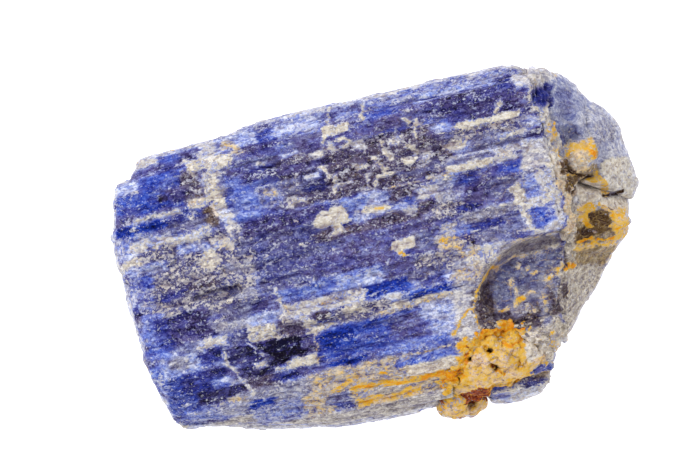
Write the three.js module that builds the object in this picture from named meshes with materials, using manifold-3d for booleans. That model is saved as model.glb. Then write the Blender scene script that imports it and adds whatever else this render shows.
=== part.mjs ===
// A rough sapphire specimen: a thick block of parallel blue crystals grown side by side, a second crystal
// grown against its end, a small crystal under the front corner, and the iron-stained rock that fills the
// corner between them.
//
// Millimetres. +X runs along the crystals towards the end crystal, +Y across the broad face towards its
// back edge, and +Z up from the flat cleavage that the specimen rests on. The origin is the centre of the
// specimen's footprint box, at the height of that cleavage.
import * as THREE from "three";
import { ConvexGeometry } from "three/addons/geometries/ConvexGeometry.js";
import { SimplexNoise } from "three/addons/math/SimplexNoise.js";
import { mergeVertices } from "three/addons/utils/BufferGeometryUtils.js";
import Module from "manifold-3d";

const wasm = await Module();
wasm.setup();

// ---------------------------------------------------------------------------------------------------
// Driving dimensions
// ---------------------------------------------------------------------------------------------------

const CONTACT_GAP = 0.3; // left between pieces that touch
const SLIVER = 0.02; // edges and steps finer than this are smoothed away
const WELD = 1e-4; // corners closer than this are one
const BEYOND = 160; // wider than the whole specimen
const BLOCK_LEFT = -28.8; // the broken end of the block's core
const BLOCK_RIGHT = 27; // past the contact with the end crystal, which cuts the block there
const STATIONS = [BLOCK_LEFT, -9, BLOCK_RIGHT];

// The block's cross-section as (y, z) at each station, from the foot of the front round over the top.
const RIM = {
  frontFoot: [[-10.5, 0], [-12, 0], [-13, 0]],
  belly: [[-14.6, 7], [-19.5, 7.5], [-20.7, 8]],
  brow: [[-14.6, 12.5], [-18.8, 12.5], [-20.2, 13]],
  shoulder: [[-13.4, 17.4], [-13.9, 18.2], [-13.9, 18.6]],
  ridge: [[-6.7, 19.6], [-6.7, 20.4], [-6.7, 20.8]],
  backEdge: [[12.2, 19.6], [14.4, 20.8], [14.6, 21.2]],
  backShoulder: [[15.2, 16.8], [16.8, 17.4], [16.7, 17.8]],
  backWall: [[15, 7], [16.4, 7], [16.4, 7]],
  backFoot: [[10.5, 0], [12.5, 0], [12.5, 0]],
};

// The laths are the crystals that show on the block's sides: bars that stand a little proud of its core.
// Each side of the rim takes laths between these widths, up to this height above the core, and breaks
// each of them this many times along its length.
const LATH_SIDES = [
  { from: "frontFoot", to: "belly", width: [1.8, 3.4], height: [0.1, 0.6], breaks: 1 },
  { from: "belly", to: "brow", width: [1.0, 1.9], height: [0.2, 0.9], breaks: 2 },
  { from: "brow", to: "shoulder", width: [0.7, 1.5], height: [0.1, 0.6], breaks: 2 },
  { from: "shoulder", to: "ridge", width: [0.9, 2.4], height: [0.05, 0.4], breaks: 2 },
  { from: "ridge", to: "backEdge", width: [0.8, 2.9], height: [0.05, 0.5], breaks: 3 },
  { from: "backEdge", to: "backShoulder", width: [0.8, 1.6], height: [0.05, 0.3], breaks: 3 },
  { from: "backShoulder", to: "backWall", width: [1.4, 3.0], height: [0.1, 0.6], breaks: 2 },
  { from: "backWall", to: "backFoot", width: [1.8, 3.4], height: [0.1, 0.6], breaks: 1 },
];
const LATH = {
  root: 1.6, // how deep a lath is bedded in the core
  bevel: 0.16, // how much narrower it is at its top, on each side
  shortest: 3, // a stretch between breaks that is shorter has crumbled away
  lean: 0.5, // how far the top of a broken end leans back
  ends: [-0.35, 1.1], // where the laths' snapped ends start, from BLOCK_LEFT
  narrowest: 0.06, // a rest of a side narrower than this share joins the lath before it
};

// The block's broken end is a patchwork of the snapped ends of bars, this many across and up.
const END_BARS = {
  across: 7,
  up: 5,
  y: [-16, 17],
  z: [0, 20],
  proud: [-0.3, 0.9], // how far a bar's end stands out from BLOCK_LEFT
  spill: [0.1, 0.7], // how far a bar runs under its neighbours
  tilt: 0.25, // how far a corner of its end leans out or in
  root: 3, // how deep a bar is bedded in the core
};

// Contact faces. Each is a plane through a point, with its normal pointing out of the region it bounds.
const BLOCK_END = [
  { at: [23.1, 5, 20], out: [1, 0.02, 0.1] },
  { at: [22.7, -4, 17], out: [0.94, -0.35, 0.1] },
  { at: [24, 15.7, 18], out: [0.75, 0.66, 0.1] },
  { at: [22.4, 16.8, 18], out: [0.3, 0.95, 0.1] },
];
const ROCK_POCKET = [
  { at: [8.9, -13.8, 17], out: [-0.68, 0.73, 0] },
  { at: [12.5, -12.7, 17], out: [0.16, 0.98, 0] },
  { at: [16, -15.2, 17], out: [0.85, 0.53, 0] },
  { at: [5.6, -18, 15], out: [-1, 0, 0] },
  { at: [11, -18, 10.6], out: [0, -0.1, -1] },
];
const RUST_POCKET = [
  { at: [3.4, -20, 8], out: [-1, 0, 0] },
  { at: [9.5, -20, 8], out: [1, 0, 0] },
  { at: [6, -16.8, 8], out: [0, 1, 0] },
  { at: [6, -20, 12.8], out: [0, 0, 1] },
  { at: [6, -20, 3.2], out: [0, 0, -1] },
];
const LOWER_POCKET = [
  { at: [9.8, -20, 8], out: [-1, 0, 0] },
  { at: [14, -15.4, 8], out: [0, 1, 0] },
  { at: [11, -18, 10.3], out: [0, 0.1, 1] },
  { at: [18.6, -18, 8], out: [0.87, -0.5, 0] },
  { at: [14, -18, 1.2], out: [0, 0, -1] },
];

// The worn faces that round the block's broken end, from its back corner to its front one.
const BROKEN_END = [
  { at: [-28.9, 10.4, 10], out: [-0.95, 0.31, 0] },
  { at: [-29.7, 4.6, 10], out: [-1, 0.02, 0] },
  { at: [-29.3, -4, 10], out: [-0.99, -0.05, 0.03] },
  { at: [-28.5, -11, 10], out: [-0.96, -0.27, 0] },
  { at: [-27.2, -14.9, 10], out: [-0.78, -0.62, 0] },
  { at: [-28.7, 0, 19.3], out: [-0.72, 0, 0.69] },
  { at: [-27.6, 0, 19.9], out: [-0.3, 0, 0.95] },
  { at: [-27.6, -13.4, 15.6], out: [-0.58, -0.58, 0.58] },
];

// The shell-shaped hollow where the block has snapped across its front corner: an ellipse on the
// surface round its centre, closed off in front by a ledge, with a steep wall and a sloping floor.
const SCOOP = { centre: [20.1, -9.4], radii: [9.2, 6.3], ledge: -12.9, floorScale: 0.84 };
const SCOOP_FLOOR = { z: 18.3, fallAlong: 0.11, riseAcross: 0.06 };

// The smooth pit at the block's back corner, bitten out of the block and the end crystal alike.
const CORNER_PIT = { centre: [23.4, 12.9, 19.4], radii: [1.45, 1.15, 1.7] };

// ---------------------------------------------------------------------------------------------------
// Solids
// ---------------------------------------------------------------------------------------------------

// A repeatable stream of numbers from 0 to 1.
function numbers(seed) {
  let state = seed;
  return () => {
    state = (state + 0x6d2b79f5) | 0;
    let t = Math.imul(state ^ (state >>> 15), 1 | state);
    t = (t + Math.imul(t ^ (t >>> 7), 61 | t)) ^ t;
    return ((t ^ (t >>> 14)) >>> 0) / 4294967296;
  };
}

function between(random, low, high) {
  return low + (high - low) * random();
}

function solidOf(geometry) {
  const bare = geometry.clone();
  bare.deleteAttribute("normal");
  bare.deleteAttribute("uv");
  const merged = mergeVertices(bare, WELD);
  return new wasm.Manifold(
    new wasm.Mesh({
      numProp: 3,
      vertProperties: merged.attributes.position.array,
      triVerts: new Uint32Array(merged.index.array),
    }),
  );
}

function geometryOf(solid) {
  const mesh = solid.getMesh();
  const geometry = new THREE.BufferGeometry();
  geometry.setAttribute("position", new THREE.BufferAttribute(mesh.vertProperties, 3));
  geometry.setIndex(new THREE.BufferAttribute(mesh.triVerts, 1));
  const faceted = geometry.toNonIndexed();
  faceted.computeVertexNormals();
  return faceted;
}

function join(solids) {
  return solids.reduce((whole, solid) => whole.add(solid));
}

// The largest body of a solid, without the slivers and crumbs that cuts have left.
function largestBody(solid) {
  const bodies = solid.simplify(SLIVER).decompose();
  return bodies.reduce((most, body) => (body.volume() > most.volume() ? body : most));
}

// A flat-faced crystal or chip with these corners.
function facetedSolid(corners) {
  return solidOf(new ConvexGeometry(corners.map((corner) => new THREE.Vector3(...corner))));
}

// The convex region inside these contact faces, each moved out by grow.
function region(faces, grow = 0) {
  const everything = solidOf(new THREE.BoxGeometry(BEYOND, BEYOND, BEYOND));
  return faces.reduce((kept, face) => {
    const out = new THREE.Vector3(...face.out).normalize();
    const reach = out.dot(new THREE.Vector3(...face.at)) + grow;
    return kept.trimByPlane([-out.x, -out.y, -out.z], -reach);
  }, everything);
}

// A rounded, knobbly lump: a ball of the given radii with grains of this size and height on it.
function lump({ centre, radii, detail, grain, height, seed }) {
  const noise = new SimplexNoise({ random: numbers(seed) });
  const ball = mergeVertices(
    new THREE.IcosahedronGeometry(1, detail).deleteAttribute("normal").deleteAttribute("uv"),
    WELD,
  );
  const position = ball.attributes.position;
  const point = new THREE.Vector3();
  for (let i = 0; i < position.count; i++) {
    point.fromBufferAttribute(position, i);
    const spot = point.clone().multiply(radii).divideScalar(grain);
    const coarse = noise.noise3d(spot.x, spot.y, spot.z);
    const fine = noise.noise3d(2 * spot.x, 2 * spot.y, 2 * spot.z);
    const scale = 1 + (height * (coarse + fine / 2)) / radii.length();
    point.multiply(radii).multiplyScalar(scale).add(centre);
    position.setXYZ(i, point.x, point.y, point.z);
  }
  return solidOf(ball);
}

function vector(x, y, z) {
  return new THREE.Vector3(x, y, z);
}

// ---------------------------------------------------------------------------------------------------
// The blue block
// ---------------------------------------------------------------------------------------------------

// A corner of the block's rim at any x, between the stations.
function rimPoint(name, x) {
  const i = x < STATIONS[1] ? 0 : 1;
  const t = (x - STATIONS[i]) / (STATIONS[i + 1] - STATIONS[i]);
  const [near, far] = [RIM[name][i], RIM[name][i + 1]];
  return vector(x, THREE.MathUtils.lerp(near[0], far[0], t), THREE.MathUtils.lerp(near[1], far[1], t));
}

function blockCore() {
  const corners = Object.keys(RIM).flatMap((name) => STATIONS.map((x) => rimPoint(name, x).toArray()));
  return facetedSolid(corners);
}

// The corners of a lath where it crosses x: two bedded in the core and two on its raised top.
function lathSection(side, x, start, end, height, lean) {
  const [a, b] = [rimPoint(side.from, x), rimPoint(side.to, x)];
  const along = b.clone().sub(a);
  const width = along.length();
  along.divideScalar(width);
  const out = vector(0, -along.z, along.y);
  const bevel = LATH.bevel / width;
  const corner = (t, rise, shift) =>
    a.clone().addScaledVector(along, t * width).addScaledVector(out, rise).add(vector(shift, 0, 0)).toArray();
  return [
    corner(start, -LATH.root, 0),
    corner(end, -LATH.root, 0),
    corner(start + bevel, height, lean),
    corner(end - bevel, height, lean),
  ];
}

// One length of lath from x0 to x1, with the tops of its two broken ends leaning back.
function lath(side, start, end, x0, x1, height, random) {
  const stops = [x0, ...STATIONS.filter((x) => x > x0 + 1 && x < x1 - 1), x1];
  const leans = stops.map(() => 0);
  leans[0] = between(random, 0, LATH.lean);
  leans[stops.length - 1] = -between(random, 0, LATH.lean);
  return facetedSolid(stops.flatMap((x, i) => lathSection(side, x, start, end, height, leans[i])));
}

function blockLaths(random) {
  const laths = [];
  for (const side of LATH_SIDES) {
    const span = rimPoint(side.from, STATIONS[1]).distanceTo(rimPoint(side.to, STATIONS[1]));
    let start = 0;
    while (start < 1) {
      const width = between(random, ...side.width) / span;
      const end = start + width > 1 - LATH.narrowest ? 1 : start + width;
      const cuts = [BLOCK_LEFT + between(random, ...LATH.ends), BLOCK_RIGHT];
      for (let k = 0; k < side.breaks; k++) {
        cuts.push(between(random, BLOCK_LEFT + LATH.shortest, BLOCK_RIGHT - LATH.shortest));
      }
      cuts.sort((p, q) => p - q);
      for (let k = 0; k + 1 < cuts.length; k++) {
        if (cuts[k + 1] - cuts[k] < LATH.shortest) continue;
        const height = between(random, ...side.height);
        laths.push(lath(side, start, end, cuts[k], cuts[k + 1], height, random));
      }
      start = end;
    }
  }
  return laths;
}

// One bar of the broken end, from its snapped face to its root.
function endBar(i, j, random) {
  const { across, up, y, z, proud, spill, tilt, root } = END_BARS;
  const y0 = THREE.MathUtils.lerp(...y, i / across) - between(random, ...spill);
  const y1 = THREE.MathUtils.lerp(...y, (i + 1) / across) + between(random, ...spill);
  const z0 = THREE.MathUtils.lerp(...z, j / up) - between(random, ...spill);
  const z1 = THREE.MathUtils.lerp(...z, (j + 1) / up) + between(random, ...spill);
  const x0 = BLOCK_LEFT - between(random, ...proud);
  const ring = [[y0, z0], [y1, z0], [y0, z1], [y1, z1]];
  return facetedSolid([
    ...ring.map(([yc, zc]) => [x0 + between(random, -tilt, tilt), yc, zc]),
    ...ring.map(([yc, zc]) => [BLOCK_LEFT + root, yc, zc]),
  ]);
}

// The snapped ends of the bars, kept within the block's own outline there.
function brokenEnd(random) {
  const bars = [];
  for (let i = 0; i < END_BARS.across; i++) {
    for (let j = 0; j < END_BARS.up; j++) bars.push(endBar(i, j, random));
  }
  const outline = Object.keys(RIM).map((name) => rimPoint(name, BLOCK_LEFT));
  const sleeve = facetedSolid(
    outline.flatMap(({ x, y, z }) => [[x - END_BARS.root, y, z], [x + END_BARS.root + 1, y, z]]),
  );
  return join(bars).intersect(sleeve);
}

// Pieces that have broken off the block: its corners at the left, and flakes off the broad face.
function blockChips() {
  return [
    // The back corner at the broken end, snapped off square along the crystals.
    facetedSolid([
      [-32, 13.4, 24], [-26, 13.6, 24], [-24.2, 15.9, 24], [-24.2, 22, 24], [-32, 22, 24],
      [-32, 13.6, -1], [-26.6, 13.8, -1], [-24.9, 15.9, -1], [-24.9, 22, -1], [-32, 22, -1],
    ]),
    // The back edge stands a step lower along its first stretch.
    facetedSolid([
      [-32, 16.1, 24], [-13.2, 16.3, 24], [-11.6, 17.2, 24], [-11.6, 22, 24], [-32, 22, 24],
      [-32, 16.1, 3], [-13.8, 16.3, 3], [-12.4, 17.2, 3], [-12.4, 22, 3], [-32, 22, 3],
    ]),
    scoop(),
    cornerPit(),
    // Flakes lifted off the broad face.
    flake(vector(-14, 12.5, 21.2), [8, 1.6, 0.9]),
    flake(vector(-3.4, 4.4, 21.4), [4.6, 1.4, 0.8]),
    flake(vector(8, 9.6, 21.9), [6.5, 0.9, 0.8]),
    flake(vector(-19, -1.2, 20.3), [3.8, 1.5, 0.8]),
    flake(vector(15.5, 3.8, 21.7), [5.5, 1.1, 0.9]),
    flake(vector(2, -10.6, 20.4), [7.5, 1.3, 0.9]),
    flake(vector(-15, -11.5, 19.4), [4.2, 1.5, 0.9]),
  ];
}

function scoop() {
  const [cx, cy] = SCOOP.centre;
  const [rx, ry] = SCOOP.radii;
  const corners = [];
  for (let i = 0; i <= 20; i++) {
    const angle = (2 * Math.PI * i) / 20;
    for (const [scale, height] of [[SCOOP.floorScale, 0], [0.94, 0.55], [1, 1.6], [1.16, 6]]) {
      const x = cx + scale * rx * Math.cos(angle);
      const y = Math.max(cy + scale * ry * Math.sin(angle), SCOOP.ledge);
      const floor = SCOOP_FLOOR.z - SCOOP_FLOOR.fallAlong * (x - cx + rx) + SCOOP_FLOOR.riseAcross * (y - cy);
      corners.push([x, y, floor + height]);
    }
  }
  return facetedSolid(corners);
}

function cornerPit() {
  return hollow({ centre: vector(...CORNER_PIT.centre), radii: vector(...CORNER_PIT.radii), detail: 3 });
}

// A smooth bowl to cut away.
function hollow({ centre, radii, detail }) {
  const ball = new THREE.IcosahedronGeometry(1, detail);
  ball.scale(...radii.toArray());
  ball.translate(...centre.toArray());
  return solidOf(ball);
}

// A shallow boat-shaped cut, long along the crystals, of half-sizes reach.
function flake(centre, [rx, ry, rz]) {
  const corners = [
    [-rx, 0.1 * ry, 1], [-0.7 * rx, -ry, 1], [0.8 * rx, -0.8 * ry, 1], [rx, 0.3 * ry, 1],
    [0.6 * rx, ry, 1], [-0.8 * rx, 0.9 * ry, 1],
    [-0.7 * rx, 0, -rz], [0.7 * rx, -0.5 * ry, -rz], [0.6 * rx, 0.5 * ry, -rz],
  ];
  return facetedSolid(corners.map(([x, y, z]) => [centre.x + x, centre.y + y, centre.z + z]));
}

function blueBlock() {
  const random = numbers(11);
  let block = join([blockCore(), ...blockLaths(random), brokenEnd(random)]);
  block = block.intersect(region(BLOCK_END)).intersect(region(BROKEN_END));
  for (const pocket of [ROCK_POCKET, RUST_POCKET, LOWER_POCKET]) block = block.subtract(region(pocket));
  for (const chip of blockChips()) block = block.subtract(chip);
  return block.trimByPlane([0, 0, 1], 0);
}

// ---------------------------------------------------------------------------------------------------
// The crystal grown against the block's end
// ---------------------------------------------------------------------------------------------------

function endCrystal() {
  const upper = facetedSolid([
    [21, 15.4, 17.2], [24.6, 15.5, 15.2], [26.4, 14.8, 13.2], [28.1, 13.4, 11.6], [29, 11.4, 12],
    [22, 13, 18.2], [27, 10.5, 16.4], [22, 5, 18], [24, 1.6, 17], [28, 3, 15.8],
    [22, 14, 4], [27, 12, 4], [28, 10, 1.5], [22, 2, 1.5],
  ]);
  const nose = facetedSolid([
    [28.6, 11.8, 11.5], [30.8, 9.9, 10.6], [32.3, 7, 10.2], [32.1, 3.2, 10], [32.7, 0.2, 9.2],
    [31.8, -1.4, 9.6], [28.4, 1.4, 14.6], [28.5, 8.5, 15], [30.4, 5, 13.4], [26, 2, 14.5],
    [28, 10, 3], [30.6, 6, 3], [30, 0, 3.5], [25, 2, 2],
  ]);
  const middle = facetedSolid([
    [31.4, -1.6, 7.4], [30.5, -5.1, 8], [28.2, -7.2, 9], [31, 0, 8.4], [29.6, -3.8, 11.8], [27.8, -0.2, 14],
    [22, 3, 15.6], [22, -5.6, 16.2], [26, -6.2, 13.6], [21, 0, 2], [28, -5.4, 2.2], [29.6, -1, 3],
  ]);
  const lower = facetedSolid([
    [28, -7.4, 8.6], [27.4, -8.1, 7.6], [25.6, -10.3, 7.4],
    [22.8, -12.9, 7], [20.3, -15.6, 7.4], [18.4, -17.8, 8.6],
    [22, -3, 15.6], [26, -3.4, 13.6], [19.6, -12, 14.6], [17.4, -16.4, 12.6], [22, -12.2, 11.6],
    [20, -4, 2], [27, -4.2, 3], [20.6, -13, 2.6], [16.6, -15.4, 4],
  ]);
  const knob = lump({
    centre: vector(26.3, 5.2, 16.2), radii: vector(2.1, 2, 1.6),
    detail: 5, grain: 1.7, height: 0.8, seed: 5,
  });
  const crust = lump({
    centre: vector(26.6, -3.6, 12.9), radii: vector(3.6, 2.3, 2),
    detail: 6, grain: 1.9, height: 0.9, seed: 8,
  });
  const crevice = facetedSolid([
    [22, 5.2, 22], [25.1, 5.4, 22], [25.6, 3, 22], [22, 2.4, 22],
    [23.4, 4.6, 14], [24.2, 4.4, 14], [24.4, 3.4, 14],
  ]);
  return join([upper, nose, middle, lower, knob, crust])
    .subtract(crevice)
    .subtract(cornerPit())
    .subtract(region(BLOCK_END, CONTACT_GAP))
    .subtract(region(ROCK_POCKET, CONTACT_GAP))
    .subtract(region(LOWER_POCKET, CONTACT_GAP));
}

// ---------------------------------------------------------------------------------------------------
// The small crystal under the front corner
// ---------------------------------------------------------------------------------------------------

function lowerCrystal() {
  const prism = facetedSolid([
    [8, -21.3, 6.4], [13.4, -21.9, 7], [15.8, -21.5, 7.4], [17.4, -20.6, 7.6], [18.7, -17.9, 8],
    [8, -20.4, 9.6], [13, -20.2, 10.6], [17, -18.8, 11], [8, -14, 12], [19, -14, 12],
    [8, -18.6, 2], [15, -19, 1.6], [17.4, -16.6, 2.2], [8, -14, 1], [18, -14, 1],
  ]);
  return prism.intersect(region(LOWER_POCKET, -CONTACT_GAP));
}

// ---------------------------------------------------------------------------------------------------
// The iron-stained rock in the corner
// ---------------------------------------------------------------------------------------------------

function rock() {
  const bulk = lump({
    centre: vector(11.4, -15.2, 11.6), radii: vector(8.4, 5.1, 6.9),
    detail: 8, grain: 2.6, height: 1.1, seed: 3,
  });
  const foot = lump({
    centre: vector(6.4, -18.6, 8.4), radii: vector(3.6, 3.7, 4.9),
    detail: 5, grain: 2.2, height: 0.7, seed: 4,
  });
  const pits = [
    [[8.4, -15.4, 17.4], 0.75], [[6.5, -17.6, 15.4], 0.7], [[10.9, -15.2, 18], 0.65],
    [[11.2, -17.2, 17], 0.7], [[13.6, -16.2, 16.8], 0.6], [[7.4, -20.9, 10.6], 1.0],
  ].map(([centre, radius]) =>
    hollow({ centre: vector(...centre), radii: vector(radius, radius, 1.6 * radius), detail: 1 }),
  );
  const seated = bulk
    .intersect(region(ROCK_POCKET, -CONTACT_GAP))
    .add(foot.intersect(region(RUST_POCKET, -CONTACT_GAP)));
  return pits.reduce((kept, pit) => kept.subtract(pit), seated);
}

// ---------------------------------------------------------------------------------------------------
// The specimen
// ---------------------------------------------------------------------------------------------------

const FINISHES = {
  blueSapphire: { color: 0x2a3688, roughness: 0.45, metalness: 0 },
  greySapphire: { color: 0x5a6688, roughness: 0.4, metalness: 0 },
  ironStainedRock: { color: 0xc99a4a, roughness: 0.85, metalness: 0 },
};

function piece(name, solid, finish) {
  const material = new THREE.MeshStandardMaterial(FINISHES[finish]);
  const mesh = new THREE.Mesh(geometryOf(largestBody(solid)), material);
  mesh.name = name;
  return mesh;
}

const specimen = new THREE.Group();
specimen.add(
  piece("blue_crystal_block", blueBlock(), "blueSapphire"),
  piece("end_crystal", endCrystal(), "greySapphire"),
  piece("lower_crystal", lowerCrystal(), "blueSapphire"),
  piece("matrix_rock", rock(), "ironStainedRock"),
);

const box = new THREE.Box3().setFromObject(specimen);
const footprint = box.getCenter(vector(0, 0, 0));
specimen.position.set(-footprint.x, -footprint.y, -box.min.z);

export default specimen;
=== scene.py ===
"""The finish of a rough sapphire specimen: a block of parallel blue crystals, a grey-blue crystal grown on
its end, a small violet crystal under its front corner, and the iron-stained rock between them.

Places on the stone are millimetres in the crystals' own frame: the first number runs along the crystals,
towards the end crystal, and the second across the broad face, towards its back edge.
"""
import math

import bmesh
import bpy
import numpy as np
from mathutils import Euler, Matrix, Vector


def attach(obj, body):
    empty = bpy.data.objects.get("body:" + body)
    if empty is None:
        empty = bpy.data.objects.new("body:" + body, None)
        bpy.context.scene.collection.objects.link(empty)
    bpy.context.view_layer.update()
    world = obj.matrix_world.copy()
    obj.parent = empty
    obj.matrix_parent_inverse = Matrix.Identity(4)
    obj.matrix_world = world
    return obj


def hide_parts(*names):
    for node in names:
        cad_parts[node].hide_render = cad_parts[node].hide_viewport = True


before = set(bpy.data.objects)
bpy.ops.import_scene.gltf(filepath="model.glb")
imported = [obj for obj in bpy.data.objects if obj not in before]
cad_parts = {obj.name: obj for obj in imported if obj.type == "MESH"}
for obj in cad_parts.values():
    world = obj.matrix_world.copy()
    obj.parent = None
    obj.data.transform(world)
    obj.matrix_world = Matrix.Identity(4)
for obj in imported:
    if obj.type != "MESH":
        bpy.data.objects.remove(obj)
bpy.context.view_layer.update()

MM = 0.001
CRYSTAL_ORIGIN = np.array([-1.48, 2.62, 0.0])  # the crystals' frame in the row frame, mm
OVERLAP = 0.17  # how far each piece grows to close the gap to its neighbours, mm
REST_PLANE = 0.0  # the flat cleavage the stone rests on, mm
LAID = 0.94  # how fully a patch or a seam hides what it lies over
# The stone's pale rim is painted light: a glow for light coming through its thin edges.
RIM_GLOW_SHARE = 0.92  # how fully the stone's rim is worn pale

# The shell-shaped break at the front corner, from and to along the crystals and across them: where its finish
# lies, and where the surface is bowl-smooth.
BREAK_FINISH = (10.4, 22.4, -13.8, -2.8)
BREAK_FORM = (10.4, 22.4, -13.4, -2.8)
PIT_MIDDLE = (23.45, 12.75)  # the dark pit at the back corner
PIT_RADIUS = 1.5


# ---------------------------------------------------------------------------------------------------
# Random fields, all repeatable
# ---------------------------------------------------------------------------------------------------

def hashed(cells, seed):
    """A number from 0 to 1 for each whole-numbered cell."""
    x, y, z = (cells[:, k].astype(np.int64).astype(np.uint32) for k in range(3))
    mixed = x * np.uint32(374761393) + y * np.uint32(668265263) + z * np.uint32(2246822519)
    mixed = mixed + np.uint32((seed * 3266489917) % 2**32)
    mixed = (mixed ^ (mixed >> np.uint32(15))) * np.uint32(2654435761)
    mixed = (mixed ^ (mixed >> np.uint32(13))) * np.uint32(1274126177)
    return (mixed ^ (mixed >> np.uint32(16))) / 2.0**32


def waves(points, size, seed, octaves=1):
    """Smooth noise from about -1 to 1, with waves of this size (one number, or one for each axis)."""
    total = np.zeros(len(points))
    for octave in range(octaves):
        spot = points / (np.asarray(size, float) / 2**octave) + 17.3 * octave
        cell = np.floor(spot)
        part = spot - cell
        fade = part**3 * (part * (part * 6 - 15) + 10)
        for corner in np.ndindex(2, 2, 2):
            step = np.array(corner, float)
            reach = part - step
            slope = sum(
                (2 * hashed(cell + step, seed + 31 * octave + 7 * axis) - 1) * reach[:, axis]
                for axis in range(3)
            )
            total += slope * np.prod(np.where(step == 1, fade, 1 - fade), axis=1) / 2**octave
    return 1.6 * total


def grains(points, size, seed):
    """Cells of this size: how far off the nearest two seeds are, in cells, and the cell's own number."""
    spot = points / np.asarray(size, float)
    cell = np.floor(spot)
    nearest = np.full(len(points), 9.0)
    second = np.full(len(points), 9.0)
    own = np.zeros(len(points))
    for step in np.ndindex(3, 3, 3):
        there = cell + np.array(step) - 1
        seeds = there + np.stack([hashed(there, seed + 11 * axis) for axis in range(3)], axis=1)
        distance = np.linalg.norm(seeds - spot, axis=1)
        closer = distance < nearest
        second = np.where(closer, nearest, np.minimum(second, distance))
        own = np.where(closer, hashed(there, seed + 5), own)
        nearest = np.minimum(nearest, distance)
    return nearest, second, own


def smooth(low, high, value):
    """0 below low and 1 above high, with a soft step between."""
    t = np.clip((value - low) / (high - low), 0, 1)
    return t * t * (3 - 2 * t)


def terraces(height, step, sharpness):
    """The height in flat steps, with risers that take this share of each step."""
    level = np.floor(height / step)
    part = height / step - level
    return (level + smooth(0.5 - sharpness / 2, 0.5 + sharpness / 2, part)) * step


# ---------------------------------------------------------------------------------------------------
# Mesh tools
# ---------------------------------------------------------------------------------------------------

def points_of(mesh):
    """The mesh's points in the crystals' frame, mm."""
    flat = np.empty(len(mesh.vertices) * 3)
    mesh.vertices.foreach_get("co", flat)
    return flat.reshape(-1, 3) / MM - CRYSTAL_ORIGIN


def set_points(mesh, points):
    mesh.vertices.foreach_set("co", ((points + CRYSTAL_ORIGIN) * MM).ravel())
    mesh.update()


def normals_of(mesh):
    flat = np.empty(len(mesh.vertices) * 3)
    mesh.vertex_normals.foreach_get("vector", flat)
    return flat.reshape(-1, 3)


def edges_of(mesh):
    flat = np.empty(len(mesh.edges) * 2, np.int64)
    mesh.edges.foreach_get("vertices", flat)
    return flat.reshape(-1, 2)


def spread(values, edges, count, rounds):
    """Each point's value averaged with its neighbours', this many times."""
    ends = np.concatenate([edges[:, 0], edges[:, 1]])
    others = np.concatenate([edges[:, 1], edges[:, 0]])
    share = 1 / np.maximum(np.bincount(ends, minlength=count), 1)
    for _ in range(rounds):
        if values.ndim == 1:
            values = (values + np.bincount(ends, values[others], count) * share) / 2
        else:
            columns = [np.bincount(ends, values[others, k], count) * share for k in range(values.shape[1])]
            values = (values + np.stack(columns, axis=1)) / 2
    return values


def with_modifier(piece, kind, **settings):
    """The piece, with its mesh changed by one modifier."""
    modifier = piece.modifiers.new(kind.lower(), kind)
    for name, value in settings.items():
        setattr(modifier, name, value)
    bpy.context.view_layer.update()
    shaped = bpy.data.meshes.new_from_object(piece.evaluated_get(bpy.context.evaluated_depsgraph_get()))
    piece.modifiers.remove(modifier)
    piece.data = shaped
    return piece


def without_crumbs(piece):
    """The piece's main body alone, without the loose crumbs that a remesh leaves at thin edges."""
    mesh = piece.data
    edges = edges_of(mesh)
    part = np.arange(len(mesh.vertices))
    while True:
        lowest = part.copy()
        np.minimum.at(lowest, edges[:, 0], part[edges[:, 1]])
        np.minimum.at(lowest, edges[:, 1], part[edges[:, 0]])
        lowest = lowest[lowest]
        if (lowest == part).all():
            break
        part = lowest
    crumbs = np.flatnonzero(part != np.bincount(part).argmax())
    shape = bmesh.new()
    shape.from_mesh(mesh)
    shape.verts.ensure_lookup_table()
    bmesh.ops.delete(shape, geom=[shape.verts[i] for i in crumbs], context="VERTS")
    shape.to_mesh(mesh)
    shape.free()
    return piece


def dense_copy(name, node, voxel):
    """A new piece with the shape of a CAD node, cut into faces about this many millimetres across."""
    piece = bpy.data.objects.new(name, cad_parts[node].data.copy())
    piece.data.materials.clear()
    bpy.context.scene.collection.objects.link(piece)
    with_modifier(piece, "WELD", merge_threshold=0.002 * MM)
    return with_modifier(piece, "REMESH", mode="VOXEL", voxel_size=voxel * MM)


def carve(piece, relief, soften, faces):
    """Softens the edges, grows the piece, shapes its surface by relief(points, normals), and drops faces."""
    mesh = piece.data
    edges = edges_of(mesh)
    points = spread(points_of(mesh), edges, len(mesh.vertices), soften)
    set_points(mesh, points)
    normals = normals_of(mesh)
    points = points + normals * (OVERLAP + relief(points, normals))[:, None]
    points[:, 2] = np.maximum(points[:, 2], REST_PLANE)
    set_points(mesh, points)
    triangles = 2 * len(mesh.polygons)
    if triangles > faces:
        with_modifier(piece, "DECIMATE", ratio=faces / triangles)
    without_crumbs(piece)
    piece.data.shade_smooth()
    return piece


def edge_wear(mesh, rounds):
    """How far each point stands out from the mean around it, mm: over 0 on edges, under 0 in cracks."""
    points = points_of(mesh)
    near = spread(points, edges_of(mesh), len(points), rounds)
    return ((points - near) * normals_of(mesh)).sum(axis=1)


def paint(mesh, layer, values):
    attribute = mesh.attributes.new(layer, "FLOAT", "POINT")
    attribute.data.foreach_set("value", values.astype(np.float32))


# ---------------------------------------------------------------------------------------------------
# Where each finish lies
# ---------------------------------------------------------------------------------------------------

# The layers that every piece is painted with, mostly from 0 to 1. Tone runs from black crystal to frosted
# crystal, vivid from violet to pure blue, grey takes the colour out, and warm turns the grey to olive. Crust
# is pale worn mineral, ochre and rust are iron stains, and web is iron film along hairline cracks.
LAYERS = ("tone", "vivid", "grey", "warm", "crust", "ochre", "rust", "web")

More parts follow.
